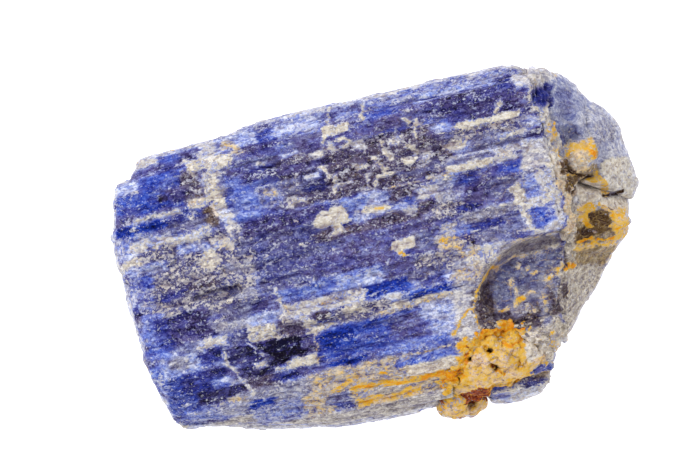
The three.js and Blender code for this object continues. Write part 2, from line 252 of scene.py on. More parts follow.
PAINTS = {
    "black": {"tone": -0.14, "vivid": 0.2, "crust": 0.1, "grey": 0.0, "warm": 0.0, "web": 0.0},
    "purple": {"tone": 0.2, "vivid": 0.15, "crust": 0.2, "grey": 0.0, "web": 0.0},
    "brown": {"tone": 0.18, "vivid": 0.0, "crust": 0.28, "grey": 0.4, "warm": 0.5, "web": 0.3},
    "navy": {"tone": 0.2, "vivid": 0.6, "crust": 0.14, "grey": 0.0},
    "violet": {"tone": 0.4, "vivid": 0.15, "crust": 0.2, "grey": 0.0},
    "vivid": {"tone": 0.19, "vivid": 1.2, "crust": 0.04, "grey": -0.2, "ochre": 0.0, "web": 0.0},
    "royal": {"tone": 0.38, "vivid": 0.8, "crust": 0.14, "grey": -0.05},
    "teal": {"tone": 0.28, "vivid": 1.0, "crust": 0.14, "grey": 0.25, "warm": 0.0},
    "blue": {"tone": 0.58, "vivid": 0.7, "crust": 0.2, "grey": 0.0},
    "sky": {"tone": 0.84, "vivid": 0.5, "crust": 0.34, "grey": 0.06},
    "frost": {"tone": 0.95, "vivid": 0.2, "crust": 0.6, "grey": 0.35},
    "plaster": {"crust": 1.0, "grey": 0.3, "tone": 0.9, "ochre": 0.06, "web": 0.6},
    "cream": {"crust": 0.78, "grey": 0.4, "tone": 0.8, "ochre": 0.06, "web": 0.6},
    "pale": {"crust": 0.66, "grey": 0.3, "tone": 0.78, "web": 0.3},
    "speckle": {"crust": 0.52, "tone": 0.34, "grey": 0.5, "warm": 0.4, "vivid": 0.5, "ochre": 0.1},
    "dark speckle": {"crust": 0.41, "tone": 0.18, "grey": 0.4, "warm": 0.4, "vivid": 0.1, "web": 0.3},
    "blue speckle": {"crust": 0.46, "tone": 0.58, "grey": 0.08, "vivid": 0.45},
    "slate": {"tone": 0.45, "vivid": 0.3, "grey": 0.45, "warm": 0.05, "crust": 0.24},
    "dusk": {"tone": 0.34, "vivid": 0.45, "crust": 0.3, "grey": 0.3, "warm": 0.15},
    "taupe": {"tone": 0.84, "grey": 0.85, "warm": 0.4, "crust": 0.14},
    "belly": {"tone": 0.78, "vivid": 0.0, "grey": 1.0, "warm": 0.5, "crust": 0.24, "ochre": 0.0},
    "tan": {"crust": 0.62, "ochre": 0.2, "tone": 0.66, "grey": 0.5, "warm": 0.6, "web": 0.9},
    "ochre": {"crust": 0.84, "ochre": 0.52, "tone": 0.8, "grey": 0.8, "warm": 1.0},
    "ember": {"crust": 1.0, "ochre": 1.0, "grey": 0.9, "warm": 1.0},
    "honey": {"tone": 0.9, "crust": 0.9, "ochre": 0.42, "grey": 0.8, "warm": 0.9},
    "rust": {"rust": 1.1, "ochre": 0.6, "crust": 1.0},
    "pit": {"tone": 0.18, "vivid": 0.5, "crust": 0.0, "grey": 0.0, "ochre": 0.0, "web": 0.0},
    "hollow": {
        "tone": 0.42, "vivid": 0.6, "grey": 0.84, "warm": 0.2, "crust": 0.08, "ochre": 0.1, "web": 0.7},
    "wall": {"tone": 0.54, "vivid": 0.0, "grey": 0.9, "warm": 0.45, "crust": 0.2, "ochre": 0.0, "web": 0.4},
    "ivory": {"tone": 1.0, "grey": 0.9, "warm": 0.65, "crust": 1.0, "ochre": 0.02, "web": 0.4},
    "mist": {"tone": 0.62, "vivid": 0.2, "grey": 0.66, "warm": 0.15, "crust": 0.4},
    "ink": {"tone": 0.04, "vivid": 0.4, "grey": 0.3, "warm": 0.0, "crust": 0.12, "web": 0.0},
    "charcoal": {"tone": 0.14, "vivid": 0.0, "grey": 0.85, "warm": 0.45, "crust": 0.04, "web": 0.5},
    "cloud": {"tone": 0.36, "vivid": 1.0, "grey": 0.8, "warm": 0.1, "crust": 0.04, "web": 0.6},
    "film": {"tone": 0.85, "crust": 0.95, "ochre": 0.26, "grey": 0.7, "warm": 0.8},
    "cloudy": {"tone": 0.74, "vivid": 0.3, "grey": 0.74, "warm": 0.1, "crust": 0.2, "web": 0.1},
    "crevice": {"tone": -0.1, "grey": 1.0, "warm": 1.0, "crust": 0.0, "ochre": 0.0, "web": 0.0},
    "violet grey": {"tone": 0.64, "vivid": 0.5, "grey": 0.65, "warm": 0.0, "crust": 0.16, "web": 0.1},
    "bleached": {"tone": 0.95, "grey": 0.9, "warm": 0.6, "crust": 0.95, "ochre": 0.05},
    "olive": {"tone": 0.5, "grey": 1.0, "warm": 1.0, "crust": 0.22, "ochre": 0.25, "web": 1.0},
    "dark olive": {"tone": 0.14, "grey": 1.0, "warm": 1.0, "crust": 0.06, "web": 0.6},
    "umber": {"tone": 0.25, "vivid": 0.0, "grey": 0.9, "warm": 0.8, "crust": 0.3, "web": 0.3},
    "beige": {"tone": 0.86, "grey": 1.0, "warm": 0.8, "crust": 0.6, "ochre": 0.15, "web": 0.4},
    "nose": {"tone": 0.9, "vivid": 0.1, "grey": 0.85, "warm": 0.4, "crust": 0.66, "web": 0.4},
    "grey fibre": {
        "tone": 0.7, "vivid": 0.0, "grey": 1.0, "warm": 0.6, "crust": 0.54, "ochre": 0.05, "web": 0.3},
    "sandy": {"tone": 0.95, "ochre": 0.46, "warm": 1.0, "crust": 1.0, "rust": 0.0},
    "rosy": {"tone": 0.9, "ochre": 0.26, "warm": 1.0, "crust": 0.95, "rust": 0.0},
    "hole": {"tone": 0.05, "ochre": 0.9, "rust": 0.6},
    "inlet": {"tone": 0.32, "vivid": 0.6, "grey": 0.1, "warm": 0.0, "crust": 0.2, "ochre": 0.0, "rust": 0.0},
}

# Painted light: the pale glow on the stone's rim, laid as frosted pale mineral.
RIM_GLOW_PAINT = {"tone": 1.0, "vivid": 0.1, "grey": 0.35, "crust": 0.58}

# Patches of the broad face and the front chamfer: paint, from and to along the crystals, from and to
# across them. Later ones lie over earlier ones.
FACE_PATCHES = [
    # the broken end's third, above the middle
    ("violet", -28.6, -17, 9.6, 15.8), ("sky", -28.8, -25.2, 12.5, 13.9), ("royal", -25.2, -19.4, 12, 14),
    ("pale", -25.4, -22.2, 15, 16.3), ("royal", -22.2, -18, 15, 15.9), ("navy", -22.6, -19.8, 14, 14.9),
    ("purple", -20, -17, 14.7, 15.9), ("royal", -28.2, -24, 10, 12.3), ("royal", -26.4, -19.8, 9.8, 11.8),
    ("black", -23.3, -22, 10.7, 11.5), ("purple", -22, -19.8, 10.2, 12),
    ("dark speckle", -20.3, -18, 9.8, 13.8), ("vivid", -28.8, -22.6, 7.6, 8.7),
    ("navy", -22.8, -20.4, 7.6, 8.5), ("blue speckle", -29, -24.4, 6.6, 7.6),
    ("slate", -24.2, -18.2, 6.8, 7.9), ("umber", -18.5, -16.7, 6.4, 9), ("sky", -29.6, -26.6, 4.8, 6.5),
    ("speckle", -28, -12.8, -3.6, 5.8), ("cream", -29.2, -26.4, 4, 4.8), ("sky", -28.6, -24.2, 2.6, 3.8),
    ("sky", -22.5, -20.9, 4.2, 5.1), ("sky", -21, -18.6, 4, 5.2), ("cream", -20, -18, 1.8, 4),
    ("pale", -18.2, -15.4, 3.6, 5), ("slate", -15.6, -13, 2.6, 4), ("blue speckle", -28.6, -26.4, -1.6, 3),
    ("royal", -27.5, -26, 1, 2.4), ("navy", -25.5, -22.8, -0.9, 0), ("mist", -17.2, -14.6, 0.6, 1.8),
    ("dark speckle", -22, -18.4, -0.4, 0.6), ("mist", -17.4, -14.2, -2.6, -1.4),
    ("blue speckle", -14.4, -12, -2.4, 0.6), ("slate", -18.6, -15, -4.8, -3),
    ("violet", -14.6, -12.2, -4.6, -2.6),
    # the broken end's third, below the middle
    ("blue", -28.6, -25.8, -7.6, -1.8), ("navy", -27, -24.2, -6.6, -2.8),
    ("purple", -25.2, -20.4, -5.9, -2.6), ("slate", -25.2, -22.4, -7.6, -6.2),
    ("mist", -20.6, -16, -6, -4.6), ("pale", -22.4, -18.8, -7.4, -6.2), ("sky", -27.6, -22.6, -10, -7.6),
    ("mist", -26.6, -24, -9, -7.6), ("sky", -16.2, -12.4, -6, -4.7), ("navy", -22.9, -19.8, -9.2, -7.7),
    ("dusk", -18.9, -15.7, -8.2, -6.1), ("cream", -16.4, -12.8, -8, -6), ("purple", -20, -14.6, -10, -8),
    ("ink", -19.4, -15.4, -9.5, -8.3), ("black", -14.9, -10.3, -11.1, -8.1),
    ("brown", -12.8, -9.9, -8.2, -6), ("purple", -10.5, -8.9, -10.4, -8.3),
    ("ink", -18.8, -13.4, -11.9, -10), ("cream", -16.6, -15, -11, -10.3), ("cream", -13, -9.1, -12, -10.7),
    ("pale", -14.6, -12, -12.1, -11.4), ("teal", -27.6, -25, -12.2, -10),
    ("navy", -25.6, -20, -12.6, -9.8), ("sky", -22.2, -19.4, -11.9, -11.2),
    ("teal", -27.8, -23.8, -14.6, -12), ("ink", -24, -19.4, -13.8, -12.3),
    ("ink", -21, -17.8, -13.6, -12.4), ("brown", -18, -14.6, -14, -12), ("navy", -14.6, -9, -13.2, -12.2),
    # the middle third of the broad face, above the middle
    ("violet", -15, -8, 12, 14.2), ("purple", -12.6, -8.4, 13.8, 14.9), ("royal", -10.6, -7.2, 15, 16.3),
    ("blue speckle", -8.4, -2.4, 14.6, 17.1), ("sky", -8.2, -2.8, 15.3, 16.5),
    ("sky", -13, -10.4, 15, 16.6), ("blue", -15.5, -11.4, 6.2, 11.6), ("blue", -15.2, -11.8, 6.2, 10.2),
    ("purple", -13.2, -9, 10.4, 11.8), ("blue speckle", -11.8, -8.2, 7.2, 9.8),
    ("dark speckle", -9, 11.4, 6.5, 12.6), ("violet", -6, 3.2, 12.6, 14), ("slate", -9, -5, 7.8, 10),
    ("violet", -2, 3, 15, 17), ("blue speckle", -0.8, 2, 15.1, 16.2), ("blue speckle", 2.6, 10, 15.5, 17),
    ("violet", 2.6, 9.8, 13, 15.6), ("royal", 2.6, 6.6, 14.6, 15.6), ("purple", -9, -2.6, 10.6, 11.5),
    ("brown", -2.4, 3.6, 10, 11.4), ("ink", -6.2, -3.4, 8.5, 10.3), ("navy", -6, -3.4, 7.8, 8.5),
    ("brown", -2, 4.4, 7, 9), ("plaster", -2.6, 0.5, 13.8, 14.9), ("pale", -4.3, -2.8, 11.5, 12.4),
    ("pale", -2.4, -1.4, 12, 13.2), ("frost", 0.4, 2.1, 11.5, 12.4), ("pale", 4.8, 6.2, 11, 12.1),
    ("sky", 9.8, 12.1, 11.3, 12.3), ("cream", 0.3, 1.8, 9, 9.9), ("frost", 8.1, 9.2, 8, 9.8),
    ("purple", 9.9, 11.6, 10.4, 11.4), ("pale", -11.3, -9.4, 12, 12.8), ("tan", -11.1, -9.4, 8.4, 9.3),
    ("purple", -14.4, -4, 4.2, 6.2), ("pale", -8.4, -6, 6.8, 7.6), ("dusk", -14, -4, -2.4, 4.4),
    ("violet", -9, -4, -1.8, 0.4), ("brown", -6, 7, 1.8, 3.2), ("sky", -2.3, 3.4, 4.5, 6.3),
    ("blue", -2, 0.6, 5, 6), ("plaster", -5.7, -1.9, 3.5, 5.3), ("cream", -4.2, -2.6, 2.4, 3.6),
    ("sky", -1.6, 0.8, 3, 4.2), ("cream", 0, 3.4, 3.9, 4.7), ("brown", 3.4, 7, 4.6, 6.4),
    ("frost", 6.6, 9.1, 4, 5.6), ("frost", 4.4, 6.3, 2.7, 3.6), ("brown", 6.4, 8.6, 2.4, 3.9),
    ("mist", 9, 10.8, 2.4, 5.8),
    # the middle third of the broad face, below the middle
    ("violet", -4, 8.4, -2.2, 2), ("violet", -6, 2, -2.4, -0.2), ("blue", -7, 0.6, -3.2, -2.2),
    ("plaster", 2.3, 4.9, -1.3, 0.1), ("slate", 4.9, 7.6, -1.8, 0.6), ("tan", 7.3, 10.6, -2.9, -0.5),
    ("speckle", 7.4, 10.6, 1.2, 3.2), ("pale", 8.4, 10.2, -0.8, 0.7), ("blue", -12, -4.6, -4.4, -2.6),
    ("sky", -4.8, 0.6, -4.6, -2.8), ("violet", 0.6, 4.4, -4.2, -2.2), ("speckle", 4.4, 10, -5, -2.4),
    ("slate", 1.4, 8, -5.2, -3.8), ("vivid", -2.1, 3.4, -5.9, -4.3), ("navy", 4.1, 7.6, -5.9, -5),
    ("sky", 7.4, 9.8, -6.2, -4.6), ("frost", -0.4, 2.6, -6.7, -5.9), ("vivid", 2.4, 8.4, -7, -6.2),
    ("blue", 8.2, 10, -7.8, -6),
    # the right third of the broad face
    ("blue speckle", 9.8, 22, 16, 17), ("sky", 9, 18.4, 15.4, 16.2), ("purple", 9.6, 20.4, 13.6, 15.4),
    ("navy", 18.4, 20.5, 14.6, 16.1), ("frost", 20.4, 22.8, 14.4, 16.1), ("taupe", 21.8, 24.4, 14.4, 17),
    ("purple", 11.8, 20.6, 11.9, 13.8), ("violet", 20.4, 22.6, 12, 14.2), ("speckle", 11.8, 22, 9.6, 11.2),
    ("navy", 19.6, 22.6, 9.9, 11.7), ("plaster", 12.6, 20.5, 11.1, 11.9), ("cream", 10.5, 13.6, 9, 9.9),
    ("slate", 13.8, 17.6, 8.2, 10), ("pale", 17.4, 20.8, 8.9, 9.6), ("slate", 17.4, 20.4, 8, 8.8),
    ("purple", 20.7, 23.2, 7.9, 8.9), ("frost", 10.6, 23.3, 7.1, 8.1), ("slate", 4.6, 16.4, 7.1, 7.8),
    ("plaster", 10.8, 16.2, 6.3, 7.1), ("pale", 9, 11.4, 5.7, 6.6), ("frost", 16.4, 18.6, 6.2, 7.2),
    ("taupe", 19.4, 23.6, 4.6, 7.2), ("violet", 11.4, 18.8, 1.6, 6), ("navy", 11.7, 13.8, 4.6, 5.9),
    ("royal", 16.6, 19.4, 4.7, 6.3), ("purple", 12, 15.2, 2.5, 4.3), ("navy", 10.8, 13.4, 1.4, 2.4),
    ("slate", 14.6, 18.2, 2, 4.8), ("mist", 11, 18, 0.2, 1.5), ("frost", 18, 22.9, -2.9, 4.2),
    ("pale", 18, 19.3, -2.4, 4), ("pale", 20.8, 22.8, -0.4, 2.4), ("plaster", 17.4, 18.9, 0.8, 3.2),
    ("blue", 19.1, 20.7, 1.5, 4.1), ("royal", 19.1, 21.8, -2.2, 0.3), ("slate", 11.8, 18, -2.8, 0.1),
    ("navy", 12, 16, -0.9, 0), ("blue", 10.2, 11.8, -1.2, 0.1), ("pale", 11, 16.4, -4.4, -2.8),
    ("tan", 10, 12.6, -3.8, -2.6), ("pale", 9.4, 12.6, -7.4, -4.4), ("tan", 9.6, 11.4, -6.2, -4.6),
    ("grey fibre", 14.8, 22, -20, -13.6), ("ivory", 22.5, 23.8, 3.3, 6),
    # the lower face, in front of the ridge
    ("pale", -12.4, -1.8, -6.2, -4.5), ("cream", -10, -8.5, -8.3, -5.8), ("cream", -8.7, -6.4, -8.3, -7.5),
    ("brown", -8.5, -6.6, -7.2, -6.1), ("speckle", -6.2, 0.4, -8, -6.3), ("cream", -4.6, -3, -7.2, -6.3),
    ("cream", 0.6, 8, -7.8, -7), ("royal", -8.8, 4.6, -12, -8.2), ("violet", 0, 4.6, -11.6, -8.6),
    ("vivid", -8.2, -4.2, -10.6, -8.5), ("sky", 3.8, 9.6, -10, -7.6), ("sky", 4.6, 7.6, -12, -8.8),
    ("taupe", 7.8, 10.8, -10, -6.8), ("taupe", 7.6, 10.8, -13.4, -9.6), ("violet", -12, -2, -13.1, -12.1),
    ("blue", -2, 6.8, -13.3, -12), ("vivid", -8, -3.6, -13, -12.3),
    # the front chamfer
    ("mist", -20, -8, -17.6, -13.4), ("blue speckle", -19.6, -12, -17.4, -15.4),
    ("vivid", -18.4, -15.2, -15.5, -14.7), ("blue speckle", -26, -20, -16, -14.2),
    ("mist", -22, -18.6, -15.8, -14.4), ("belly", -26, -18, -19, -16.2), ("belly", -19, -8, -21, -17.9),
    ("belly", -12, 9, -22, -18.3), ("tan", -12, -8.2, -18.4, -15.4), ("tan", -11, 1.4, -16.2, -13),
    ("blue", -0.4, 6.8, -14.9, -13.6), ("ivory", 1, 8.4, -16.3, -14.8), ("tan", -5, -1, -14.2, -13.2),
    ("tan", -8.6, -5, -15.8, -15), ("ochre", -6, -2, -16.8, -15.7), ("slate", -9.4, -6.8, -17.2, -16),
    ("tan", -6.4, 6.4, -18.6, -16.2), ("ochre", 4.2, 7.8, -18, -16.2), ("belly", -3.4, 0.2, -17.5, -16.5),
    ("honey", -5.6, 2.2, -18.3, -17.4), ("sandy", 7, 10.6, -17.6, -13),
]

# Thin seams of the broad face: paint, width, and the points they run through.
FACE_SEAMS = [
    ("frost", 1.8, [(-16.4, 16.2), (-17, 14.8)]),
    ("cream", 1.5, [(-19, 14.2), (-16.6, 13.8), (-14.2, 13.6)]),
    ("pale", 2.2, [(-16.7, 13.6), (-16.5, 11.8), (-17, 10.2)]),
    ("cream", 1.6, [(-16.9, 10.8), (-16.4, 9.2), (-16.1, 7.8)]),
    ("frost", 1.5, [(-16.1, 7.8), (-15.6, 6.2)]),
    ("cream", 0.9, [(-19.4, 9.5), (-17.2, 9.7)]),
    ("tan", 1.1, [(-14.2, 15.6), (-12.6, 14.6)]),
    ("pale", 0.54, [(-26.6, 9.1), (-24, 9.3), (-21, 9.1)]),
    ("pale", 1.2, [(-27.4, 6), (-24, 6.2), (-20.4, 5.7), (-18.6, 6.4)]),
    ("pale", 0.5, [(-19.8, -8.2), (-19.6, -9.6)]),
    ("pale", 0.38, [(-19.8, -9.6), (-18.9, -10.8), (-18.6, -12), (-17.8, -13), (-17.6, -13.9)]),
    ("frost", 0.34, [(-16.6, -8), (-15.4, -9.6)]),
    ("tan", 0.32, [(-8.8, -8.3), (-8.9, -10), (-9.3, -12)]),
    ("pale", 0.47, [(-12.2, -2.4), (-11.8, -4.4)]),
    ("tan", 0.35, [(-11.5, -4.5), (-11.2, -5.7)]),
    ("tan", 0.4, [(-7, -5.2), (-5.2, -5)]),
    ("cream", 0.41, [(2.2, 14.6), (2.4, 15.6), (2.9, 16.8)]),
    ("cream", 0.41, [(-1.8, 15.2), (-1.7, 16), (-1.2, 17)]),
    ("cream", 0.41, [(-2.9, 13.2), (-2.2, 13.9), (-2.4, 14.4)]),
    ("cream", 0.61, [(17.5, 12.2), (18.3, 12.7), (18.8, 13.2)]),
    ("cream", 0.4, [(-4, 10.5), (-3.1, 9.8), (-3, 9)]),
    ("cream", 0.47, [(-2.2, 9.2), (-2.5, 8.2), (-2.9, 7)]),
    ("pale", 0.5, [(-2.5, 8), (-0.6, 8)]),
    ("cream", 0.47, [(-1.1, 13.2), (-0.3, 13.2), (0.2, 12.7), (-0.2, 12.2), (-0.9, 12.3)]),
    ("cream", 0.54, [(2.6, 10), (3.2, 9), (3.6, 8.2)]),
    ("cream", 0.54, [(4, 11.8), (3.8, 10.4), (4.6, 9.6)]),
    ("cream", 0.47, [(5.9, 9.2), (6.3, 8.6), (7.2, 8.8), (7.6, 9.6), (7.4, 10.4), (6.6, 10.7)]),
    ("cream", 0.54, [(2, 7.1), (2.8, 7.8), (4.4, 7.9)]),
    ("cream", 0.54, [(8.4, 13.2), (8.1, 12.2), (7.8, 11.4)]),
    ("cream", 0.41, [(7, 13.8), (7.6, 13.2)]),
    ("pale", 0.41, [(1.2, 8.4), (1.2, 6.8)]),
    ("tan", 0.22, [(3.6, 6.3), (8, 6.2), (11, 6.4)]),
    ("ochre", 0.35, [(7.3, -12.3), (8.2, -10.9), (9.4, -10), (10.8, -9.4)]),
    ("ochre", 0.5, [(8.1, -1.1), (8.8, -1.3)]),
    ("ochre", 0.4, [(9.4, -2.2), (10, -2.6)]),
    ("ochre", 0.5, [(2.9, -1.3), (3.4, -1.8)]),
    ("honey", 0.3, [(1.6, 4.3), (2.4, 4.2)]),
    ("tan", 0.3, [(0.4, -13.4), (3, -13.5), (6.4, -13.4)]),
    ("tan", 0.7, [(-20, -14), (-18.4, -14.2)]),
    ("tan", 0.5, [(-1, -7.9), (3, -7.8), (8, -7.4)]),
    ("ochre", 0.6, [(-8, -15.7), (-6, -15)]),
    ("ember", 0.35, [(-5.4, -16), (-3.6, -15.9)]),
    ("ember", 0.3, [(-2.4, -14.8), (-1.8, -15)]),
    ("ochre", 0.7, [(-2.2, -16.1), (1, -16.6), (4, -16.5), (7, -16.8)]),
    ("ember", 0.35, [(-1.8, -16.3), (0.6, -16.7)]),
    ("ember", 0.4, [(2.4, -16.6), (4.4, -16.4), (6.6, -16.9)]),
    ("ochre", 0.7, [(7, -16.8), (8.4, -15.2), (9.4, -13.6), (10.6, -12.7)]),
]

# The hollow at the front corner: a dark wall, a cloudy floor, and iron films along its cracks. The charcoal
#  on its left wall is partly the wall's own colour and partly painted shade, where the wall faces from the
#  light.
SCOOP_PATCHES = [
    ("hollow", 10.6, 22, -13.6, -3.2), ("charcoal", 10.2, 12.6, -12.8, -6.8), ("wall", 12, 15, -7.2, -4.6),
    ("wall", 13.6, 21.8, -4.9, -3.2), ("cloud", 13.4, 21.6, -8.8, -5),
    ("charcoal", 12.8, 17.6, -13.6, -10.9), ("cloud", 12.8, 15.6, -10.4, -7.4),
    ("mist", 8.6, 11.6, -7.6, -4), ("pale", 10.4, 14.4, -4.9, -2.8), ("tan", 8.8, 12.4, -6.4, -4.8),
    ("charcoal", 18.9, 19.9, -12.6, -9.8),
]
SCOOP_SEAMS = [
    ("ochre", 0.3, [(10.2, -12.2), (10.2, -10), (10.8, -8), (12.2, -6.6), (13.6, -5.3)]),
    ("tan", 0.3, [(13.6, -5.3), (15, -4), (16.6, -3.2), (21.8, -3.2)]),
    ("film", 0.34, [(13.6, -5.6), (15, -5.3), (16.4, -4.9), (19, -5.1), (21.4, -4.8)]),
    ("film", 0.4, [(13.2, -10.9), (14.6, -10.7), (16, -10), (17.6, -9), (20, -8.4), (21.6, -7.2)]),
    ("film", 0.3, [(16, -10), (15.2, -8.6), (14.8, -7), (13.6, -5.8)]),
    ("film", 0.28, [(16.2, -5.2), (16.6, -6.4), (17.6, -7.2), (19.8, -7.4)]),
    ("film", 0.28, [(17.4, -9.2), (18.6, -10.6), (18.4, -12.4)]),
    ("film", 0.28, [(16, -10), (16.8, -11.4), (16.6, -12.6)]),
    ("ember", 0.6, [(15.8, -10), (16.2, -10.1)]),
    ("ochre", 0.4, [(13.1, -10.9), (13.6, -10.9)]),
    ("ochre", 0.45, [(20, -8.3), (21, -7.6)]),
    ("mist", 0.25, [(18.4, -13.4), (18, -11.6), (18.4, -9.8), (19.4, -9.2)]),
]

END_PATCHES = [
    ("cloudy", 24, 33, 3, 16), ("violet grey", 24.2, 28.2, 8.4, 14.8), ("slate", 25.4, 27.4, 10, 13),
    ("violet grey", 27, 29.6, 6.5, 12), ("cloud", 24.5, 27, 6.6, 8.8), ("taupe", 23.4, 26, 14.4, 16.4),
    ("cloudy", 27.4, 32.6, 4.4, 10.4), ("mist", 28.8, 31.6, 5.6, 8.6), ("olive", 23, 28.6, 0.4, 3.6),
    ("ivory", 25.2, 28.4, -0.9, 1.9), ("nose", 28.6, 33, -1.6, 3.6), ("bleached", 29, 31.5, 2.1, 3.9),
    ("honey", 25, 28.8, 4.2, 6.8), ("beige", 24.9, 27.5, 2.8, 5.5), ("grey fibre", 22.4, 24.8, -9, 1),
    ("dark olive", 23.6, 25, 3.4, 5.2), ("ivory", 27.6, 31.6, -2.8, -0.8), ("olive", 23.6, 29, -8.4, -2.4),
    ("sandy", 24.6, 27.1, -3.1, -0.8), ("dark olive", 26, 28.9, -4.5, -1.8),
    ("dark olive", 24, 26, -5, -3.4), ("dark olive", 24, 25.4, 0.8, 2.8), ("honey", 28.4, 30.8, -6, -2.2),
    ("grey fibre", 17, 27.6, -18, -8), ("slate", 18.4, 20.2, -12.8, -9.8), ("navy", 23, 24.9, 11.4, 14.2),
]
END_SEAMS = [
    ("ember", 0.28, [(24, -5.1), (25.8, -4.9), (27.2, -5.5), (28.6, -5.4)]),
    ("honey", 0.7, [(23.8, -5.7), (26, -5.7), (28.6, -6.2)]),
    ("ember", 0.7, [(21.6, -7.2), (22.8, -7.6)]),
    ("ochre", 0.6, [(28, 2.6), (28.6, 1), (28.8, -0.4)]),
    ("ember", 0.6, [(27.9, 5.1), (28.4, 4.6)]),
    ("ochre", 0.5, [(23, 3.5), (23.8, 3.5), (25.4, 2.9), (27, 2), (28, 1.5)]),
    ("crevice", 0.4, [(23.4, 3.8), (24.4, 3.6), (26, 2.6), (27.2, 2.2)]),
    ("crevice", 0.25, [(28.4, -0.3), (29.6, -0.4), (30.8, -0.3)]),
    ("ochre", 0.5, [(27.4, -1.2), (28.6, -2.4), (28.9, -4.4)]),
    ("cream", 0.25, [(26, -4.2), (26.2, -4.2)]),
    ("ember", 0.4, [(25.4, -3.1), (26, -3.6)]),
]

ROCK_PATCHES = [
    ("sandy", 5, 18, -20, -12), ("ochre", 9, 16.4, -14.4, -12.2), ("ember", 9.4, 15.8, -13.5, -12.3),
    ("ochre", 7, 9.8, -16, -13.4), ("ochre", 5, 7.8, -18.6, -16), ("ember", 5.2, 7.2, -18, -16.4),
    ("rosy", 7.8, 13.4, -19, -15.2), ("sandy", 12.6, 16.4, -17, -14.4), ("bleached", 15, 18, -18, -14),
    ("ochre", 9.8, 14, -20.8, -19.2), ("rust", 6.6, 9.6, -21.3, -19.1), ("hole", 9.6, 10.6, -20.6, -19.2),
    ("rosy", 3.6, 9, -22.4, -21), ("inlet", 15.2, 18.8, -20.4, -18.3),
]
ROCK_SEAMS = [
    ("ember", 0.5, [(7.6, -16.2), (8.2, -15), (8.8, -14)]),
    ("hole", 0.8, [(8.3, -14.9), (8.7, -14.2)]),
    ("hole", 0.45, [(10.4, -14.7), (10.7, -15.3)]),
    ("hole", 0.7, [(6.5, -17.2), (6.8, -16.8)]),
    ("hole", 0.4, [(10.6, -16.9), (11.1, -17.2)]),
    ("ember", 0.4, [(12.6, -14.6), (13.6, -15.2), (14.8, -14.8)]),
    ("ember", 0.35, [(11.2, -17.4), (12, -18.2)]),
    ("rosy", 0.7, [(6, -19.2), (9, -18.9), (12, -18.9), (15, -18.2), (17, -17.4)]),
]

LOWER_PATCHES = [
    ("navy", 12.6, 17.6, -20.9, -18), ("sky", 16, 18.6, -20.4, -17.6), ("frost", 12, 18, -22.4, -20.6),
]

SEAM_PATCHES = [
    ("pale", 22, 25.4, 6, 12.6), ("cream", 22.4, 24.4, 4.8, 6), ("dark olive", 23.5, 25.6, 3.2, 4.8),
    ("beige", 22, 25, -4, 3), ("ivory", 22.5, 23.6, 3.3, 6), ("dark olive", 24, 25.4, 0.8, 2.8),
    ("grey fibre", 18, 24.4, -15, -4), ("ember", 21.6, 22.9, -7.9, -7), ("taupe", 22, 25.6, 14.2, 17.4),
    ("charcoal", 18.9, 20.3, -12.8, -9.7), ("charcoal", 20.6, 21.8, -11.2, -9.5),
    ("charcoal", 21.3, 22.2, -7.6, -5.6), ("slate", 20, 21.4, -14, -12.8),
]


def patch_reach(points, x0, x1, y0, y1, edge=0.22):
    """1 inside a patch and 0 outside, with rounded corners; soft for edge millimetres to each side."""
    half = np.array([x1 - x0, y1 - y0]) / 2
    corner = 0.5 * half.min()
    over = np.abs(points[:, :2] - (np.array([x0, y0]) + half)) - half + corner
    outside = np.linalg.norm(np.maximum(over, 0), axis=1) + np.minimum(over.max(axis=1), 0) - corner
    return 1 - smooth(-edge, edge, outside)


def seam_distance(points, path):
    """The distance across the face to a line through these points, mm."""
    nearest = np.full(len(points), 99.0)
    for start, end in zip(path, path[1:]):
        run = np.subtract(end, start)
        t = np.clip(((points[:, :2] - start) @ run) / (run @ run), 0, 1)
        nearest = np.minimum(nearest, np.linalg.norm(points[:, :2] - start - t[:, None] * run, axis=1))
    return nearest


def ragged(points, seed):
    """The points moved about a little, so that what is laid on them has natural edges."""
    moved = points.copy()
    moved[:, 0] += 0.55 * waves(points, (2.0, 0.9, 0.9), seed, 3)
    moved[:, 1] += 0.28 * waves(points, (1.5, 1.0, 1.0), seed + 1, 3)
    return moved


def blend(layers, targets, weight):
    """Draws the layers towards these values, by this share."""
    for layer, target in targets.items():
        layers[layer] += (target - layers[layer]) * weight


def lay(layers, points, facing, patches, seams, seed):
    """Lays patches and seams over the layers, where the surface faces up."""
    spots = ragged(points, seed)
    for name, x0, x1, y0, y1 in patches:
        blend(layers, PAINTS[name], LAID * facing * patch_reach(spots, x0, x1, y0, y1))
    spots = (spots + points) / 2
    swell = np.clip(1 + 0.8 * waves(points, (0.9, 0.8, 0.8), seed + 2, 2), 0.2, 1.7)
    for name, width, path in seams:
        away = seam_distance(spots, path) / swell
        blend(layers, PAINTS[name], LAID * facing * (1 - smooth(0.3 * width, 0.75 * width, away)))
    return layers


# ---------------------------------------------------------------------------------------------------
# The pieces
# ---------------------------------------------------------------------------------------------------

def facing_up(normals):
    return smooth(0.05, 0.35, normals[:, 2])


